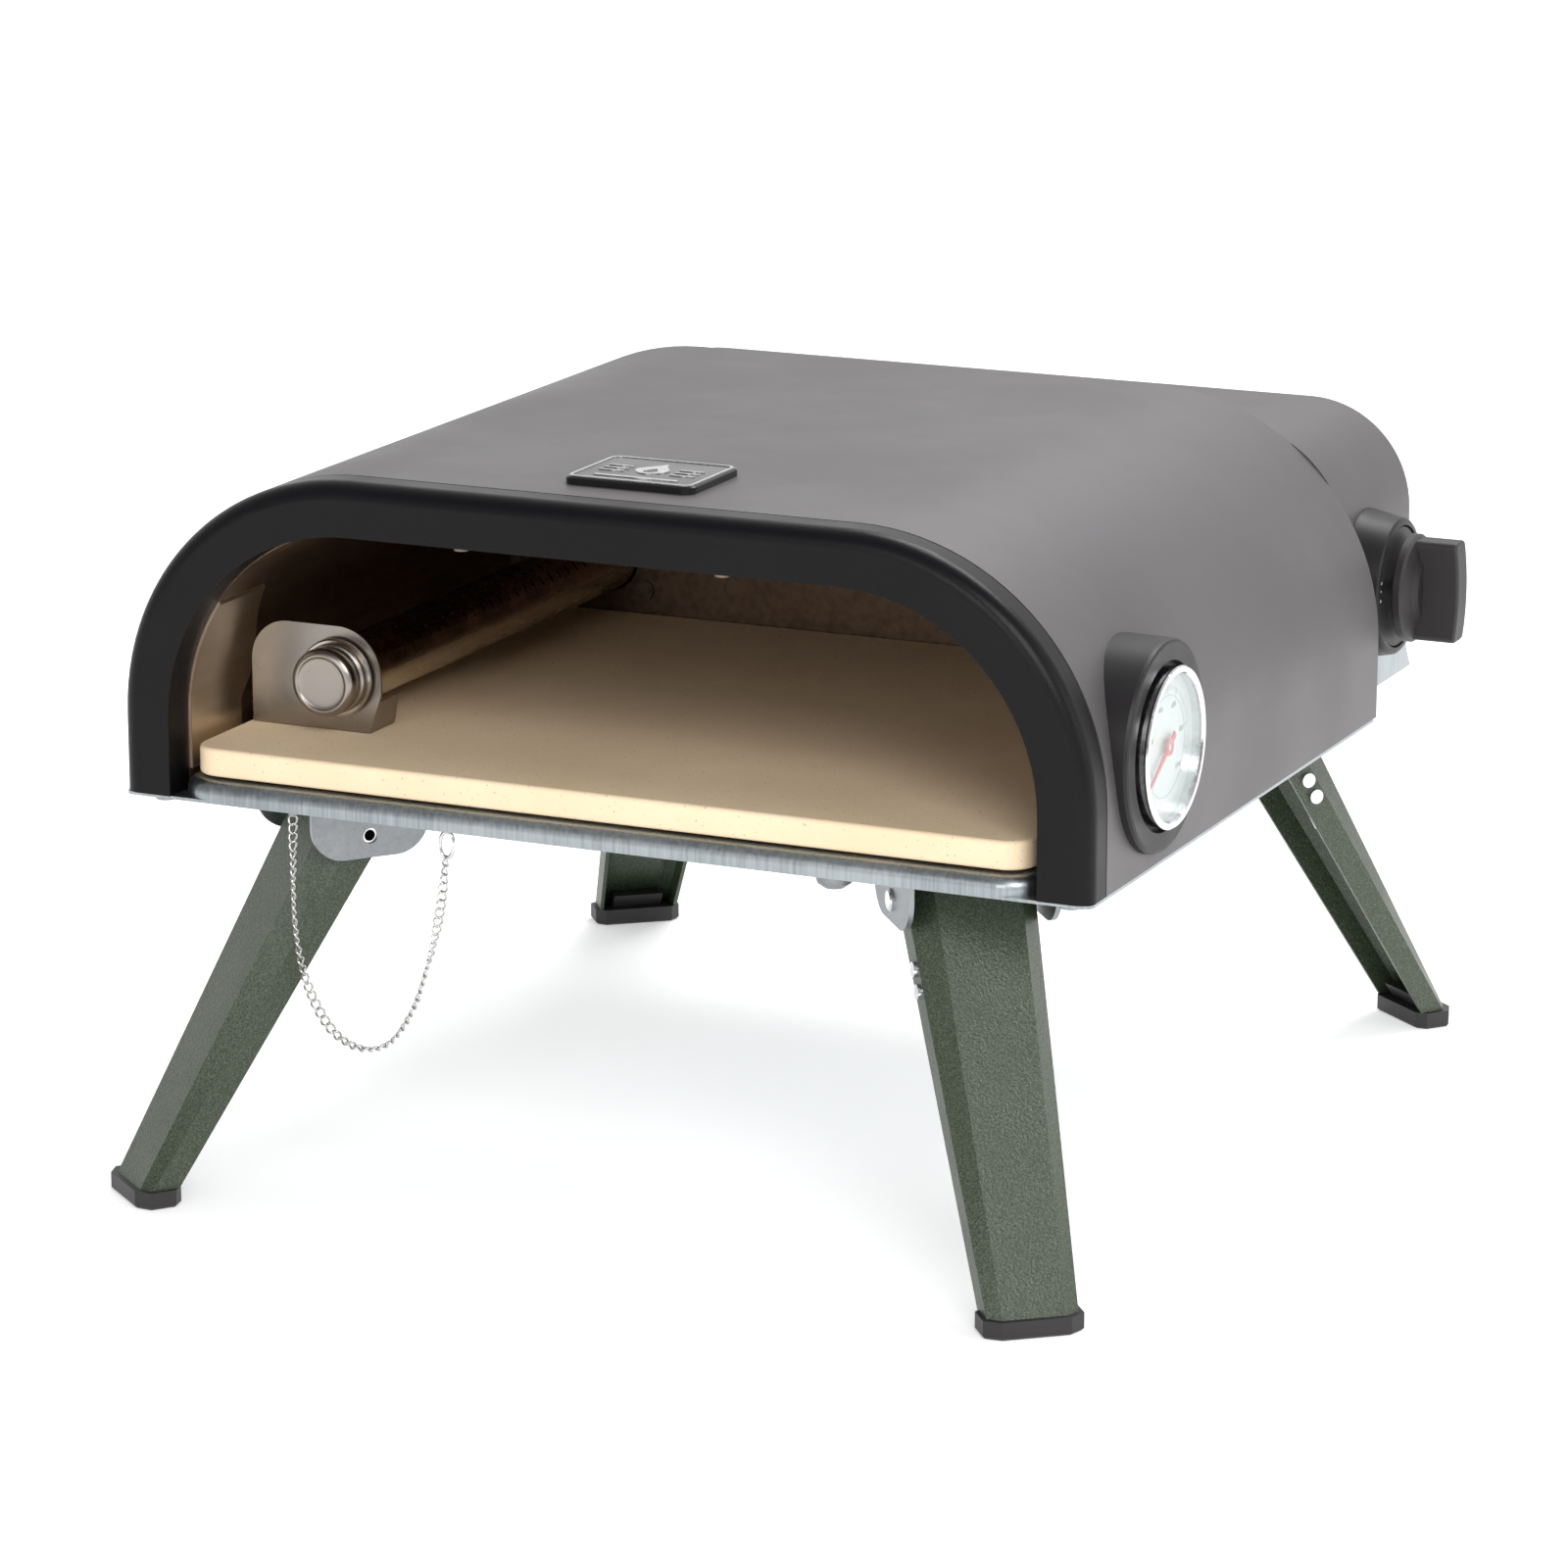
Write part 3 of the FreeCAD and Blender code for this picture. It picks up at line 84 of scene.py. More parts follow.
# ---------------------------------------------------------------- material kit
class Finish:
    """A node material that is built up from noise in the object's own coordinates."""

    def __init__(self, name):
        self.material = bpy.data.materials.new(name)
        self.material.use_nodes = True
        self.nodes = self.material.node_tree.nodes
        self.links = self.material.node_tree.links
        self.nodes.clear()
        self.output = self.nodes.new("ShaderNodeOutputMaterial")
        self.shader = self.nodes.new("ShaderNodeBsdfPrincipled")
        self.links.new(self.shader.outputs[0], self.output.inputs[0])
        self.coordinates = self.nodes.new("ShaderNodeTexCoord").outputs["Object"]
        self.normal = None

    def set(self, **values):
        for name, value in values.items():
            self.shader.inputs[name.replace("_", " ")].default_value = value
        return self

    def stretched(self, stretch, turn=(0, 0, 0)):
        mapping = self.nodes.new("ShaderNodeMapping")
        mapping.inputs["Scale"].default_value = stretch
        mapping.inputs["Rotation"].default_value = turn
        self.links.new(self.coordinates, mapping.inputs["Vector"])
        return mapping.outputs[0]

    def noise(self, scale, detail=3.0, roughness=0.55, stretch=None, turn=(0, 0, 0)):
        node = self.nodes.new("ShaderNodeTexNoise")
        node.inputs["Scale"].default_value = scale
        node.inputs["Detail"].default_value = detail
        node.inputs["Roughness"].default_value = roughness
        vector = self.stretched(stretch, turn) if stretch else self.coordinates
        self.links.new(vector, node.inputs["Vector"])
        return node.outputs["Fac"]

    def height(self, axis="Z"):
        node = self.nodes.new("ShaderNodeSeparateXYZ")
        self.links.new(self.coordinates, node.inputs[0])
        return node.outputs[axis]

    def between(self, value, low, high, to_low=0.0, to_high=1.0):
        node = self.nodes.new("ShaderNodeMapRange")
        node.interpolation_type = "SMOOTHSTEP"
        self.links.new(value, node.inputs["Value"])
        node.inputs["From Min"].default_value = low
        node.inputs["From Max"].default_value = high
        node.inputs["To Min"].default_value = to_low
        node.inputs["To Max"].default_value = to_high
        return node.outputs[0]

    def maths(self, action, first, second):
        node = self.nodes.new("ShaderNodeMath")
        node.operation = action
        for socket, value in zip(node.inputs, (first, second)):
            if isinstance(value, (int, float)):
                socket.default_value = value
            else:
                self.links.new(value, socket)
        return node.outputs[0]

    def blend(self, share, first, second):
        node = self.nodes.new("ShaderNodeMix")
        node.data_type = "RGBA"
        self.links.new(share, node.inputs[0])
        for socket, value in ((node.inputs[6], first), (node.inputs[7], second)):
            if isinstance(value, tuple):
                socket.default_value = value
            else:
                self.links.new(value, socket)
        return node.outputs[2]

    def colour(self, value):
        self.links.new(value, self.shader.inputs["Base Color"])
        return self

    def rough(self, value):
        self.links.new(value, self.shader.inputs["Roughness"])
        return self

    def bump(self, value, distance, strength=1.0):
        node = self.nodes.new("ShaderNodeBump")
        node.inputs["Distance"].default_value = distance
        node.inputs["Strength"].default_value = strength
        self.links.new(value, node.inputs["Height"])
        if self.normal is not None:
            self.links.new(self.normal, node.inputs["Normal"])
        self.normal = node.outputs[0]
        self.links.new(self.normal, self.shader.inputs["Normal"])
        return self


def paint(name, dark, light, roughness, grain, depth, patch=14.0):
    """Powder coat or moulded plastic: soft colour patches and a fine grain."""
    finish = Finish(name)
    finish.set(Metallic=0.0)
    finish.colour(finish.blend(finish.between(finish.noise(patch, 4), 0.35, 0.65), dark, light))
    finish.rough(finish.between(finish.noise(patch * 2.3, 3), 0.3, 0.7, roughness - 0.04, roughness + 0.05))
    finish.bump(finish.noise(grain, 2, 0.6), depth, 0.6)
    return finish


def metal(name, dark, light, rough_low, rough_high, stretch, grain=900.0, depth=0.00002):
    """Sheet or turned metal with a drawn grain along one direction."""
    finish = Finish(name)
    finish.set(Metallic=1.0)
    streaks = finish.noise(1.0, 5, 0.62, stretch)
    clouds = finish.noise(22.0, 3)
    share = finish.maths("MULTIPLY_ADD", streaks, 0.6)
    share.node.inputs[2].default_value = 0.0
    share = finish.maths("ADD", share, finish.maths("MULTIPLY", clouds, 0.4))
    finish.colour(finish.blend(finish.between(share, 0.34, 0.66), dark, light))
    finish.rough(finish.between(streaks, 0.3, 0.7, rough_low, rough_high))
    finish.bump(finish.noise(1.0, 3, 0.5, tuple(value * grain / 900.0 for value in stretch)), depth, 0.5)
    return finish


SHELL = paint("shell_paint", srgb(74, 71, 73), srgb(77, 74, 76), 0.47, 1700, 0.00005, 5.0)
SHELL.set(Specular_IOR_Level=0.6)
FRAME = paint("frame_paint", srgb(9, 7, 10), srgb(12, 10, 13), 0.36, 700, 0.00010, 9.0)
FRAME.set(Specular_IOR_Level=0.18)
PLASTIC = paint("black_plastic", srgb(32, 29, 31), srgb(40, 37, 39), 0.50, 1300, 0.00008)
BOSS = paint("boss_plastic", srgb(28, 26, 28), srgb(34, 32, 34), 0.44, 1500, 0.00006)
BOSS.set(Specular_IOR_Level=0.3)

GREEN = Finish("leg_paint")
fleck = GREEN.noise(1500, 2, 0.6)
GREEN.colour(GREEN.blend(GREEN.between(fleck, 0.40, 0.68), srgb(38, 50, 33), srgb(74, 86, 66)))
GREEN.set(Metallic=0.0, Specular_IOR_Level=0.6)
GREEN.rough(GREEN.between(GREEN.noise(40, 3), 0.3, 0.7, 0.34, 0.42))
GREEN.bump(GREEN.noise(900, 2, 0.6), 0.00035, 0.8)

ZINC = metal("galvanised", srgb(136, 143, 147), srgb(170, 176, 179), 0.30, 0.42, (700, 700, 20))
ZINC_SHEET = metal("galvanised_bracket", srgb(134, 138, 141), srgb(158, 161, 164), 0.36, 0.5, (300, 300, 300))
STEEL = metal("stainless", srgb(174, 168, 161), srgb(186, 179, 172), 0.20, 0.26, (40, 40, 200))
PLATE = metal("burner_plate", srgb(146, 139, 132), srgb(156, 149, 142), 0.27, 0.32, (50, 50, 50))
LINER = metal("liner_steel", srgb(116, 97, 82), srgb(138, 118, 101), 0.42, 0.50, (300, 20, 300))
DULL = metal("screw_steel", srgb(110, 98, 86), srgb(140, 126, 112), 0.4, 0.5, (300, 300, 300))
SHIELD = metal("shield_steel", srgb(214, 200, 182), srgb(226, 213, 196), 0.30, 0.38, (160, 12, 160))
BRASS = metal("brass", srgb(168, 132, 70), srgb(206, 170, 98), 0.22, 0.36, (400, 400, 400))
CHROME = metal("chrome", srgb(196, 196, 198), srgb(232, 232, 234), 0.08, 0.2, (500, 500, 500))
CHAIN_STEEL = metal("chain_steel", srgb(176, 174, 172), srgb(226, 224, 222), 0.14, 0.26, (900, 900, 900))

SCORCH_LOW = 0.196
SCORCH_HIGH = 0.203
HOT = Finish("burner_steel")
HOT.set(Metallic=1.0)
tint = HOT.noise(1.0, 4, 0.6, (120, 16, 120))
scorch = HOT.between(HOT.maths("ADD", HOT.height("Z"), HOT.maths("MULTIPLY", tint, 0.006)),
                     SCORCH_LOW, SCORCH_HIGH)
warm = HOT.blend(HOT.between(tint, 0.3, 0.7), srgb(186, 170, 148), srgb(214, 200, 180))
dark = HOT.blend(HOT.between(HOT.noise(90, 3), 0.35, 0.7), srgb(88, 66, 54), srgb(130, 100, 82))
HOT.colour(HOT.blend(scorch, warm, dark))
HOT.rough(HOT.between(tint, 0.3, 0.7, 0.20, 0.32))
HOT.bump(HOT.noise(1.0, 3, 0.5, (900, 30, 900)), 0.00002, 0.5)

STONE = Finish("cordierite")
clouds = STONE.between(STONE.noise(17, 5, 0.6), 0.30, 0.72)
mottle = STONE.blend(clouds, srgb(238, 213, 178), srgb(244, 221, 187))
specks = STONE.between(STONE.noise(620, 2, 0.7), 0.27, 0.34, 0.0, 1.0)
STONE.colour(STONE.blend(specks, srgb(188, 158, 122), mottle))
STONE.set(Metallic=0.0, Roughness=0.86)
STONE.bump(STONE.noise(700, 4, 0.7), 0.00018, 0.6)
STONE.bump(STONE.noise(38, 2, 0.5), 0.0006, 0.25)

WOOL = Finish("insulation")
WOOL.colour(WOOL.blend(WOOL.noise(140, 5, 0.7, (1, 6, 6)), srgb(206, 202, 192), srgb(238, 236, 228)))
WOOL.set(Roughness=0.95)
WOOL.bump(WOOL.noise(260, 5, 0.7, (1, 5, 5)), 0.0012, 0.8)

DIAL = Finish("dial_face")
DIAL.colour(DIAL.blend(DIAL.noise(1.0, 4, 0.6, (40, 700, 40)), srgb(190, 196, 196), srgb(210, 215, 214)))
DIAL.set(Metallic=0.45)
DIAL.rough(DIAL.between(DIAL.noise(1.0, 3, 0.6, (40, 900, 40)), 0.3, 0.7, 0.34, 0.44))

PRINT = paint("dial_print", srgb(92, 96, 100), srgb(112, 116, 120), 0.5, 900, 0.00001)
WHITE = paint("white_print", srgb(206, 208, 206), srgb(224, 226, 224), 0.5, 900, 0.00001)
NEEDLE = paint("needle_red", srgb(176, 30, 30), srgb(196, 46, 42), 0.4, 900, 0.00001)
BADGE = paint("badge_black", srgb(16, 15, 16), srgb(23, 22, 23), 0.22, 700, 0.00002)
SILVER = metal("badge_silver", srgb(176, 176, 178), srgb(212, 212, 214), 0.24, 0.36, (500, 500, 500))

GLASS = Finish("glass")
smear = GLASS.noise(60, 3)
GLASS.colour(GLASS.blend(smear, srgb(226, 240, 238), srgb(240, 248, 247)))
GLASS.rough(GLASS.between(smear, 0.3, 0.7, 0.03, 0.07))
GLASS.set(Alpha=0.16, IOR=1.5)
GLASS.material.surface_render_method = "BLENDED"

FINISHES = {
    "base_tray": ZINC, "front_frame": FRAME, "outer_shell": SHELL, "rear_cowl": SHELL,
    "inner_liner": LINER, "back_wall": LINER, "insulation_blanket": WOOL, "rear_insulation": WOOL,
    "side_heat_shield": SHIELD, "stone_rails": ZINC_SHEET, "pizza_stone": STONE, "burner_tube": HOT,
    "burner_end_cap": PLATE, "burner_crimp_ring": STEEL, "burner_bracket": PLATE,
    "burner_venturi": ZINC_SHEET,
    "gas_jet": BRASS, "jet_bracket": ZINC_SHEET, "gas_pipe": STEEL, "gas_valve": BRASS, "gas_inlet": BRASS,
    "knob_boss": BOSS, "dial_plate": PLASTIC, "valve_spring_seat": BRASS, "valve_stem": CHROME,
    "knob": PLASTIC,
    "thermometer_cup": BOSS, "thermometer_case": CHROME, "thermometer_dial": DIAL, "thermometer_lens": GLASS,
    "thermometer_needle": NEEDLE, "thermometer_probe": STEEL, "badge": BADGE, "chain": CHAIN_STEEL,
    "chain_ring": CHAIN_STEEL, "chain_anchors": ZINC_SHEET, "tray_stud": ZINC_SHEET, "liner_screws": DULL,
    "tray_bolts": ZINC_SHEET, "cowl_screws": ZINC_SHEET,
}
for tag in LEG_TAGS:
    FINISHES["leg_" + tag] = GREEN
    FINISHES["foot_" + tag] = PLASTIC
    FINISHES["leg_bracket_" + tag] = ZINC_SHEET
    FINISHES["hinge_pin_" + tag] = CHROME
    FINISHES["leg_clip_" + tag] = CHROME
for name, node in NODES.items():
    node.data.materials.clear()
    node.data.materials.append(FINISHES[name].material)


def soften(name, width, segments=2):
    """Round the sharp edges of a CAD node a little, so that they catch the light."""
    bevel = NODES[name].modifiers.new("soft_edges", "BEVEL")
    bevel.width = width
    bevel.segments = segments
    bevel.limit_method = "ANGLE"
    bevel.angle_limit = math.radians(28)
    bevel.use_clamp_overlap = True
    bevel.harden_normals = True


for tag in LEG_TAGS:
    soften("leg_" + tag, 0.0007, 3)
    soften("foot_" + tag, 0.0008)
    soften("leg_bracket_" + tag, 0.0003)
for name in ("front_frame", "pizza_stone", "knob_boss", "thermometer_cup", "badge"):
    soften(name, 0.0005)


# ---------------------------------------------------------------- mesh kit
def mesh_object(name, vertices, faces, finish, body, smooth=True):
    mesh = bpy.data.meshes.new(name)
    mesh.from_pydata([tuple(vertex) for vertex in vertices], [], faces)
    mesh.validate()
    mesh.update()
    if smooth:
        mesh.shade_smooth()
    mesh.materials.append(finish.material)
    item = bpy.data.objects.new(name, mesh)
    SCENE.collection.objects.link(item)
    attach(item, body)
    return item


def closed_tube(path, radius, sides, vertices, faces):
    """Add a round wire along a closed path to a list of vertices and faces."""
    first = len(vertices)
    count = len(path)
    side = None
    for index, point in enumerate(path):
        ahead = (path[(index + 1) % count] - path[index - 1]).normalized()
        if side is None:
            side = ahead.orthogonal().normalized()
        side = (side - ahead * side.dot(ahead)).normalized()
        other = ahead.cross(side)
        for step in range(sides):
            angle = 2 * math.pi * step / sides
            vertices.append(point + side * (radius * math.cos(angle)) + other * (radius * math.sin(angle)))
    last = vertices[-sides:]
    start = vertices[first:first + sides]
    shift = min(range(sides), key=lambda turn: sum(
        (last[step] - start[(step + turn) % sides]).length for step in range(sides)))
    for index in range(count):
        offset = shift if index == count - 1 else 0
        here = first + index * sides
        there = first + ((index + 1) % count) * sides
        for step in range(sides):
            after = (step + 1) % sides
            faces.append((here + step, here + after,
                          there + (after + offset) % sides, there + (step + offset) % sides))


def spline_line(points, resolution):
    """The smooth line of a NURBS spline through its control points, as a list of points."""
    curve = bpy.data.curves.new("route", "CURVE")
    curve.dimensions = "3D"
    curve.resolution_u = resolution
    spline = curve.splines.new("NURBS")
    spline.points.add(len(points) - 1)
    for target, point in zip(spline.points, points):
        target.co = (point.x, point.y, point.z, 1.0)
    spline.order_u = 3
    spline.use_endpoint_u = True
    holder = bpy.data.objects.new("route", curve)
    SCENE.collection.objects.link(holder)
    bpy.context.view_layer.update()
    mesh = bpy.data.meshes.new_from_object(holder)
    line = [vertex.co.copy() for vertex in mesh.vertices]
    bpy.data.objects.remove(holder)
    bpy.data.curves.remove(curve)
    bpy.data.meshes.remove(mesh)
    return line


def flat_shape(name, loops, frame_matrix, thick, finish, body):
    """Thin raised print from closed outlines in millimetres; a loop inside another is a hole."""
    curve = bpy.data.curves.new(name, "CURVE")
    curve.dimensions = "2D"
    curve.fill_mode = "BOTH"
    curve.extrude = thick / 2
    for loop in loops:
        spline = curve.splines.new("POLY")
        spline.points.add(len(loop) - 1)
        spline.use_cyclic_u = True
        for target, (x, y) in zip(spline.points, loop):
            target.co = (x * 0.001, y * 0.001, 0.0, 1.0)
    return printed(name, curve, frame_matrix, finish, body)


def printed(name, curve, frame_matrix, finish, body):
    holder = bpy.data.objects.new(name + "_curve", curve)
    SCENE.collection.objects.link(holder)
    bpy.context.view_layer.update()
    mesh = bpy.data.meshes.new_from_object(holder)
    bpy.data.objects.remove(holder)
    bpy.data.curves.remove(curve)
    mesh.transform(frame_matrix)
    mesh.materials.clear()
    mesh.materials.append(finish.material)
    item = bpy.data.objects.new(name, mesh)
    SCENE.collection.objects.link(item)
    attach(item, body)
    return item


def circle(x, y, radius, count=28):
    turns = [2 * math.pi * step / count for step in range(count)]
    return [(x + radius * math.cos(turn), y + radius * math.sin(turn)) for turn in turns]


def rounded(half_x, half_y, radius, count=8):
    points = []
    for quarter, (sx, sy) in enumerate(((1, 1), (-1, 1), (-1, -1), (1, -1))):
        for step in range(count + 1):
            angle = math.pi / 2 * (quarter + step / count)
            points.append((sx * (half_x - radius) + radius * math.cos(angle),
                           sy * (half_y - radius) + radius * math.sin(angle)))
    return points


def facing_up(point):
    return Matrix.Translation(point)


def facing_side(point):
    """Local X to the rear, local Y up, and the print facing the +X side."""
    turned = Matrix(((0, 0, 1, 0), (1, 0, 0, 0), (0, 1, 0, 0), (0, 0, 0, 1)))
    return Matrix.Translation(point) @ turned


# ---------------------------------------------------------------- chain
CHAIN_ROUTE = [
    at(-127.0, 5, 152.0), at(-127.6, 5, 128.0), at(-127.2, 5, 104.0), at(-121.6, 5, 82.0),
    at(-109.0, 5, 64.5), at(-90.0, 5, 63.0), at(-77.0, 5, 80.0), at(-69.6, 5, 102.0),
    at(-64.4, 5, 122.4), at(-62.0, 5, 142.6),
]
LINK_PITCH = 0.00345
LINK_HALF_LENGTH = 0.00205
LINK_HALF_WIDTH = 0.00165
WIRE = 0.00042

line = spline_line(CHAIN_ROUTE, 24)
lengths = [0.0]
for before, after in zip(line, line[1:]):
    lengths.append(lengths[-1] + (after - before).length)
CHAIN_LENGTH = lengths[-1]


def on_line(distance):
    """Point and direction of the chain's line at a distance along it."""
    for index in range(1, len(line)):
        if lengths[index] >= distance or index == len(line) - 1:
            step = line[index] - line[index - 1]
            share = (distance - lengths[index - 1]) / max(step.length, 1e-9)
            return line[index - 1] + step * share, step.normalized()


chain_vertices, chain_faces = [], []
link_count = int(round((CHAIN_LENGTH - 0.001) / LINK_PITCH))
for number in range(link_count):
    middle, ahead = on_line(0.0016 + (CHAIN_LENGTH - 0.0026) * number / (link_count - 1))
    level = Vector((0, 1, 0))
    across = ahead.cross(level).normalized()
    lean = 2.1 * math.sin(number * 0.115 + 0.35) + 0.12 * math.sin(number * 1.9)
    path = []
    for step in range(20):
        angle = 2 * math.pi * step / 20
        swing = lean + 0.72 * math.cos(angle)
        wide = across * math.cos(swing) + level * math.sin(swing)
        lengthways = ahead * (LINK_HALF_LENGTH * math.cos(angle))
        widthways = wide * (LINK_HALF_WIDTH * math.sin(angle))
        path.append(middle + lengthways + widthways)
    closed_tube(path, WIRE, 6, chain_vertices, chain_faces)
links = mesh_object("chain_links", chain_vertices, chain_faces, CHAIN_STEEL, "oven")
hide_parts("chain")

ring_vertices, ring_faces = [], []
ring_middle = at(-61.6, 5, 148.0)
ring_path = []
for step in range(40):
    angle = 2 * math.pi * step / 40
    x = 2.75 * math.copysign(abs(math.cos(angle)) ** 0.85, math.cos(angle))
    z = 4.75 * math.copysign(abs(math.sin(angle)) ** 0.85, math.sin(angle))
    ring_path.append(ring_middle + Vector((x, 0.35 * math.sin(angle), z)) * 0.001)
closed_tube(ring_path, 0.00078, 10, ring_vertices, ring_faces)
ring = mesh_object("chain_end_ring", ring_vertices, ring_faces, CHAIN_STEEL, "oven")
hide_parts("chain_ring")

# ---------------------------------------------------------------- burner end cap


def lathe(name, profile, middle, finish, body, around=64):
    """A turned piece about a line along Y; the profile is (depth, radius) in metres from the front."""
    vertices, faces = [], []
    for depth, radius in profile:
        for step in range(around):
            angle = 2 * math.pi * step / around
            across = middle.x + radius * math.cos(angle)
            height = middle.z + radius * math.sin(angle)
            vertices.append(Vector((across, depth, height)))
    for row in range(len(profile) - 1):
        for step in range(around):
            after = (step + 1) % around
            faces.append((row * around + step, row * around + after,
                          (row + 1) * around + after, (row + 1) * around + step))
    faces.append(tuple(range(around)))
    faces.append(tuple(reversed(range((len(profile) - 1) * around, len(profile) * around))))
    return mesh_object(name, vertices, faces, finish, body)


def smooth_profile(corners, passes=3):
    """Corner-cutting of a profile, which keeps its ends."""
    for _ in range(passes):
        finer = [corners[0]]
        for (x0, y0), (x1, y1) in zip(corners, corners[1:]):
            finer.append((x0 * 0.75 + x1 * 0.25, y0 * 0.75 + y1 * 0.25))
            finer.append((x0 * 0.25 + x1 * 0.75, y0 * 0.25 + y1 * 0.75))
        finer.append(corners[-1])
        corners = finer
    return corners


cap_low, cap_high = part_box("burner_end_cap")
cap_middle = (cap_low + cap_high) / 2
cap_front = cap_low.y
cap_corners = [
    (cap_front + 0.0010, 0.00005), (cap_front + 0.0009, 0.0070), (cap_front + 0.0007, 0.0098),
    (cap_front, 0.0106), (cap_front + 0.0002, 0.0118), (cap_front + 0.0016, 0.0134),
    (cap_front + 0.0054, 0.0134), (cap_front + 0.0062, 0.0122), (cap_front + 0.0088, 0.0122),
    (cap_front + 0.0093, 0.0136), (cap_front + 0.0104, 0.0136), (cap_front + 0.0105, 0.0118),
    (cap_front + 0.0145, 0.0118),
]
cap = lathe("burner_cap", smooth_profile(cap_corners), cap_middle, PLATE, "oven")
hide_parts("burner_end_cap")

# ---------------------------------------------------------------- badge emblem
badge_low, badge_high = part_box("badge")
badge_top = Vector(((badge_low.x + badge_high.x) / 2, (badge_low.y + badge_high.y) / 2, badge_high.z))
half_x = (badge_high.x - badge_low.x) * 500
half_y = (badge_high.y - badge_low.y) * 500
flat_shape("badge_rim", [rounded(half_x - 1.3, half_y - 1.3, 3.6), rounded(half_x - 2.3, half_y - 2.3, 2.8)],
           facing_up(badge_top), 0.0006, SILVER, "oven")
flame = []
for step in range(49):
    angle = 2 * math.pi * step / 49 - math.pi / 2
    narrow = 1.0 - 0.62 * max(0.0, math.sin(angle)) ** 1.5
    flame.append((6.6 * math.cos(angle) * narrow + 1.2 * max(0.0, math.sin(angle)) ** 3,
                  1.2 + 7.2 * math.sin(angle) + 3.4 * max(0.0, math.sin(angle)) ** 6))
core = [(x * 0.42 + 0.2, (y - 1.2) * 0.45 - 1.3) for x, y in flame]
flat_shape("badge_flame", [flame, core], facing_up(badge_top), 0.0006, SILVER, "oven")
bars = []
for x0, x1 in ((-19.5, -9.5), (9.5, 19.5)):
    for y in (-4.5, 0.0, 4.5):
        bars.append([(x0, y - 0.55), (x1, y - 0.55), (x1, y + 0.55), (x0, y + 0.55)])
bars.append([(-17, -14.6), (17, -14.6), (17, -12.8), (-17, -12.8)])
flat_shape("badge_bars", bars, facing_up(badge_top), 0.0006, SILVER, "oven")

# ---------------------------------------------------------------- thermometer dial
dial_low, dial_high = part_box("thermometer_dial")
dial_middle = Vector((dial_high.x - 0.0017, (dial_low.y + dial_high.y) / 2, (dial_low.z + dial_high.z) / 2))
REST_ANGLE = 212.0
SWEEP = 250.0


def tick(angle, inner, outer, half):
    direction = (math.cos(angle), math.sin(angle))
    square = (-direction[1], direction[0])
    corners = []
    for radius, side in ((inner, -half), (outer, -half), (outer, half), (inner, half)):
        corners.append((direction[0] * radius + square[0] * side, direction[1] * radius + square[1] * side))
    return corners


ticks = []
for step in range(51):
    angle = math.radians(REST_ANGLE - SWEEP * step / 50)
    major = step % 5 == 0
    ticks.append(tick(angle, 19.6 if major else 20.6, 22.2, 0.17 if major else 0.08))
flat_shape("dial_ticks", ticks, facing_side(dial_middle), 0.00012, PRINT, "oven")
flat_shape("dial_circle", [circle(0, 0, 18.9, 72), circle(0, 0, 18.7, 72)],
           facing_side(dial_middle), 0.00012, PRINT, "oven")
for step in range(0, 11, 2):
    angle = math.radians(REST_ANGLE - SWEEP * step / 10)
    words = bpy.data.curves.new("dial_number", "FONT")
    words.body = str(step * 100)
    words.size = 0.0030
    words.extrude = 0.00006
    words.align_x = "CENTER"
    words.align_y = "CENTER"
    offset = Vector((0, math.cos(angle) * 0.0158, math.sin(angle) * 0.0158))
    printed("dial_number_%d" % step, words, facing_side(dial_middle + offset), PRINT, "oven")

# ---------------------------------------------------------------- knob marks
plate_low, plate_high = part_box("dial_plate")
plate_middle = Vector((plate_high.x, (plate_low.y + plate_high.y) / 2, (plate_low.z + plate_high.z) / 2))
dots = []
for degrees, radius in ((166.0, 0.62), (174.0, 0.42), (184.0, 0.6)):
    angle = math.radians(degrees)
    dots.append(circle(23.25 * math.cos(angle), 23.25 * math.sin(angle), radius, 16))
flat_shape("dial_plate_dots", dots, facing_side(plate_middle), 0.0003, WHITE, "oven")
knob_low, knob_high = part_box("knob")
knob_end = Vector((knob_high.x, (knob_low.y + knob_high.y) / 2, (knob_low.z + knob_high.z) / 2))
flat_shape("knob_dot", [circle(0, 0, 1.5, 20)], facing_side(knob_end + Vector((-0.0011, 0, 0.0160))),
           0.0003, FRAME, "knob_body")

# ---------------------------------------------------------------- floor and light
FLOOR_HALF = 14
floor_mesh = bpy.data.meshes.new("floor")
floor_corners = [(x * FLOOR_HALF, y * FLOOR_HALF, 0) for x, y in ((-1, -1), (1, -1), (1, 1), (-1, 1))]
floor_mesh.from_pydata(floor_corners, [], [(0, 1, 2, 3)])
floor = bpy.data.objects.new("floor", floor_mesh)
SCENE.collection.objects.link(floor)
FLOOR = Finish("floor")
FLOOR.colour(FLOOR.blend(FLOOR.noise(2.0, 2), srgb(244, 244, 243), srgb(248, 248, 248)))
FLOOR.set(Roughness=0.9, Specular_IOR_Level=0.1, Emission_Color=(1.0, 1.0, 1.0, 1.0), Emission_Strength=0.38)
floor_mesh.materials.append(FLOOR.material)

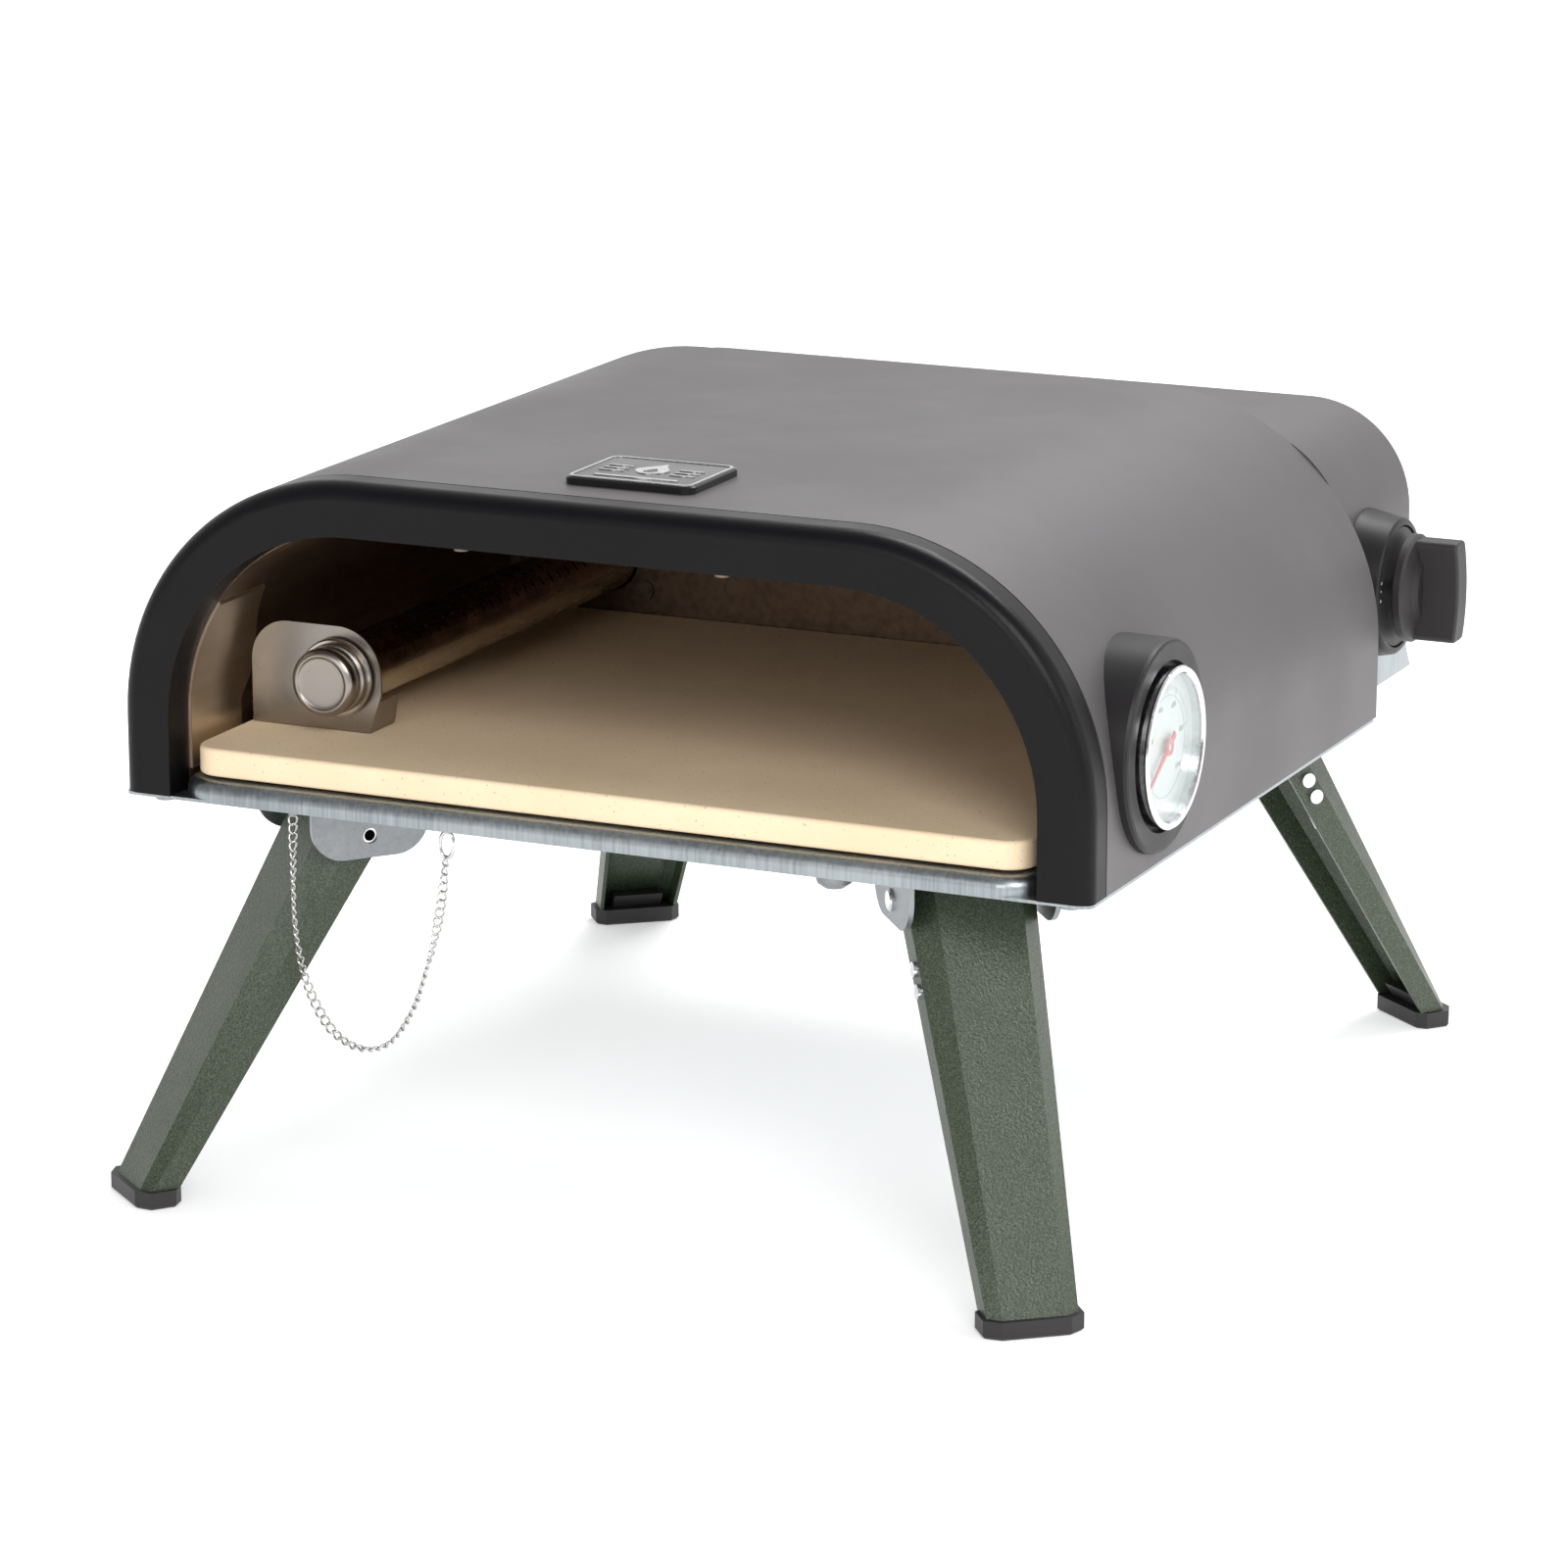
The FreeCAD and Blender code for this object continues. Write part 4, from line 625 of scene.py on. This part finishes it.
world = bpy.data.worlds.new("studio")
SCENE.world = world
world.use_nodes = True
sky = world.node_tree.nodes["Background"]
sky.inputs["Color"].default_value = (1.0, 1.0, 1.0, 1.0)
heading = world.node_tree.nodes.new("ShaderNodeTexCoord")
parts = world.node_tree.nodes.new("ShaderNodeSeparateXYZ")
world.node_tree.links.new(heading.outputs["Generated"], parts.inputs[0])
backdrop = world.node_tree.nodes.new("ShaderNodeMapRange")
backdrop.interpolation_type = "SMOOTHSTEP"
world.node_tree.links.new(parts.outputs["Y"], backdrop.inputs["Value"])
backdrop.inputs["From Min"].default_value = -0.7
backdrop.inputs["From Max"].default_value = 0.5
backdrop.inputs["To Min"].default_value = 0.4
backdrop.inputs["To Max"].default_value = 1.15
ceiling = world.node_tree.nodes.new("ShaderNodeMapRange")
world.node_tree.links.new(parts.outputs["Z"], ceiling.inputs["Value"])
ceiling.inputs["From Min"].default_value = 0.2
ceiling.inputs["From Max"].default_value = 1.0
ceiling.inputs["To Min"].default_value = 1.0
ceiling.inputs["To Max"].default_value = 0.55
both = world.node_tree.nodes.new("ShaderNodeMath")
both.operation = "MULTIPLY"
world.node_tree.links.new(backdrop.outputs[0], both.inputs[0])
world.node_tree.links.new(ceiling.outputs[0], both.inputs[1])
world.node_tree.links.new(both.outputs[0], sky.inputs["Strength"])
SCENE.view_settings.view_transform = "Standard"


def softbox(name, place, target, width, height, power):
    data = bpy.data.lights.new(name, "AREA")
    data.shape = "RECTANGLE"
    data.size = width
    data.size_y = height
    data.energy = power
    light = bpy.data.objects.new(name, data)
    SCENE.collection.objects.link(light)
    light.location = place
    light.rotation_mode = "QUATERNION"
    light.rotation_quaternion = (Vector(target) - Vector(place)).to_track_quat("-Z", "Y")


softbox("key", (1.5, -2.1, 1.7), (0, 0, 0.15), 1.3, 1.0, 37)
softbox("front", (-0.1, -2.9, 1.0), (0, 0, 0.2), 1.2, 0.8, 15)
softbox("side", (2.6, -0.1, 1.1), (0, 0, 0.12), 1.2, 1.4, 10)
softbox("top", (0.3, 1.3, 2.2), (0, 0, 0.2), 1.8, 1.0, 42)
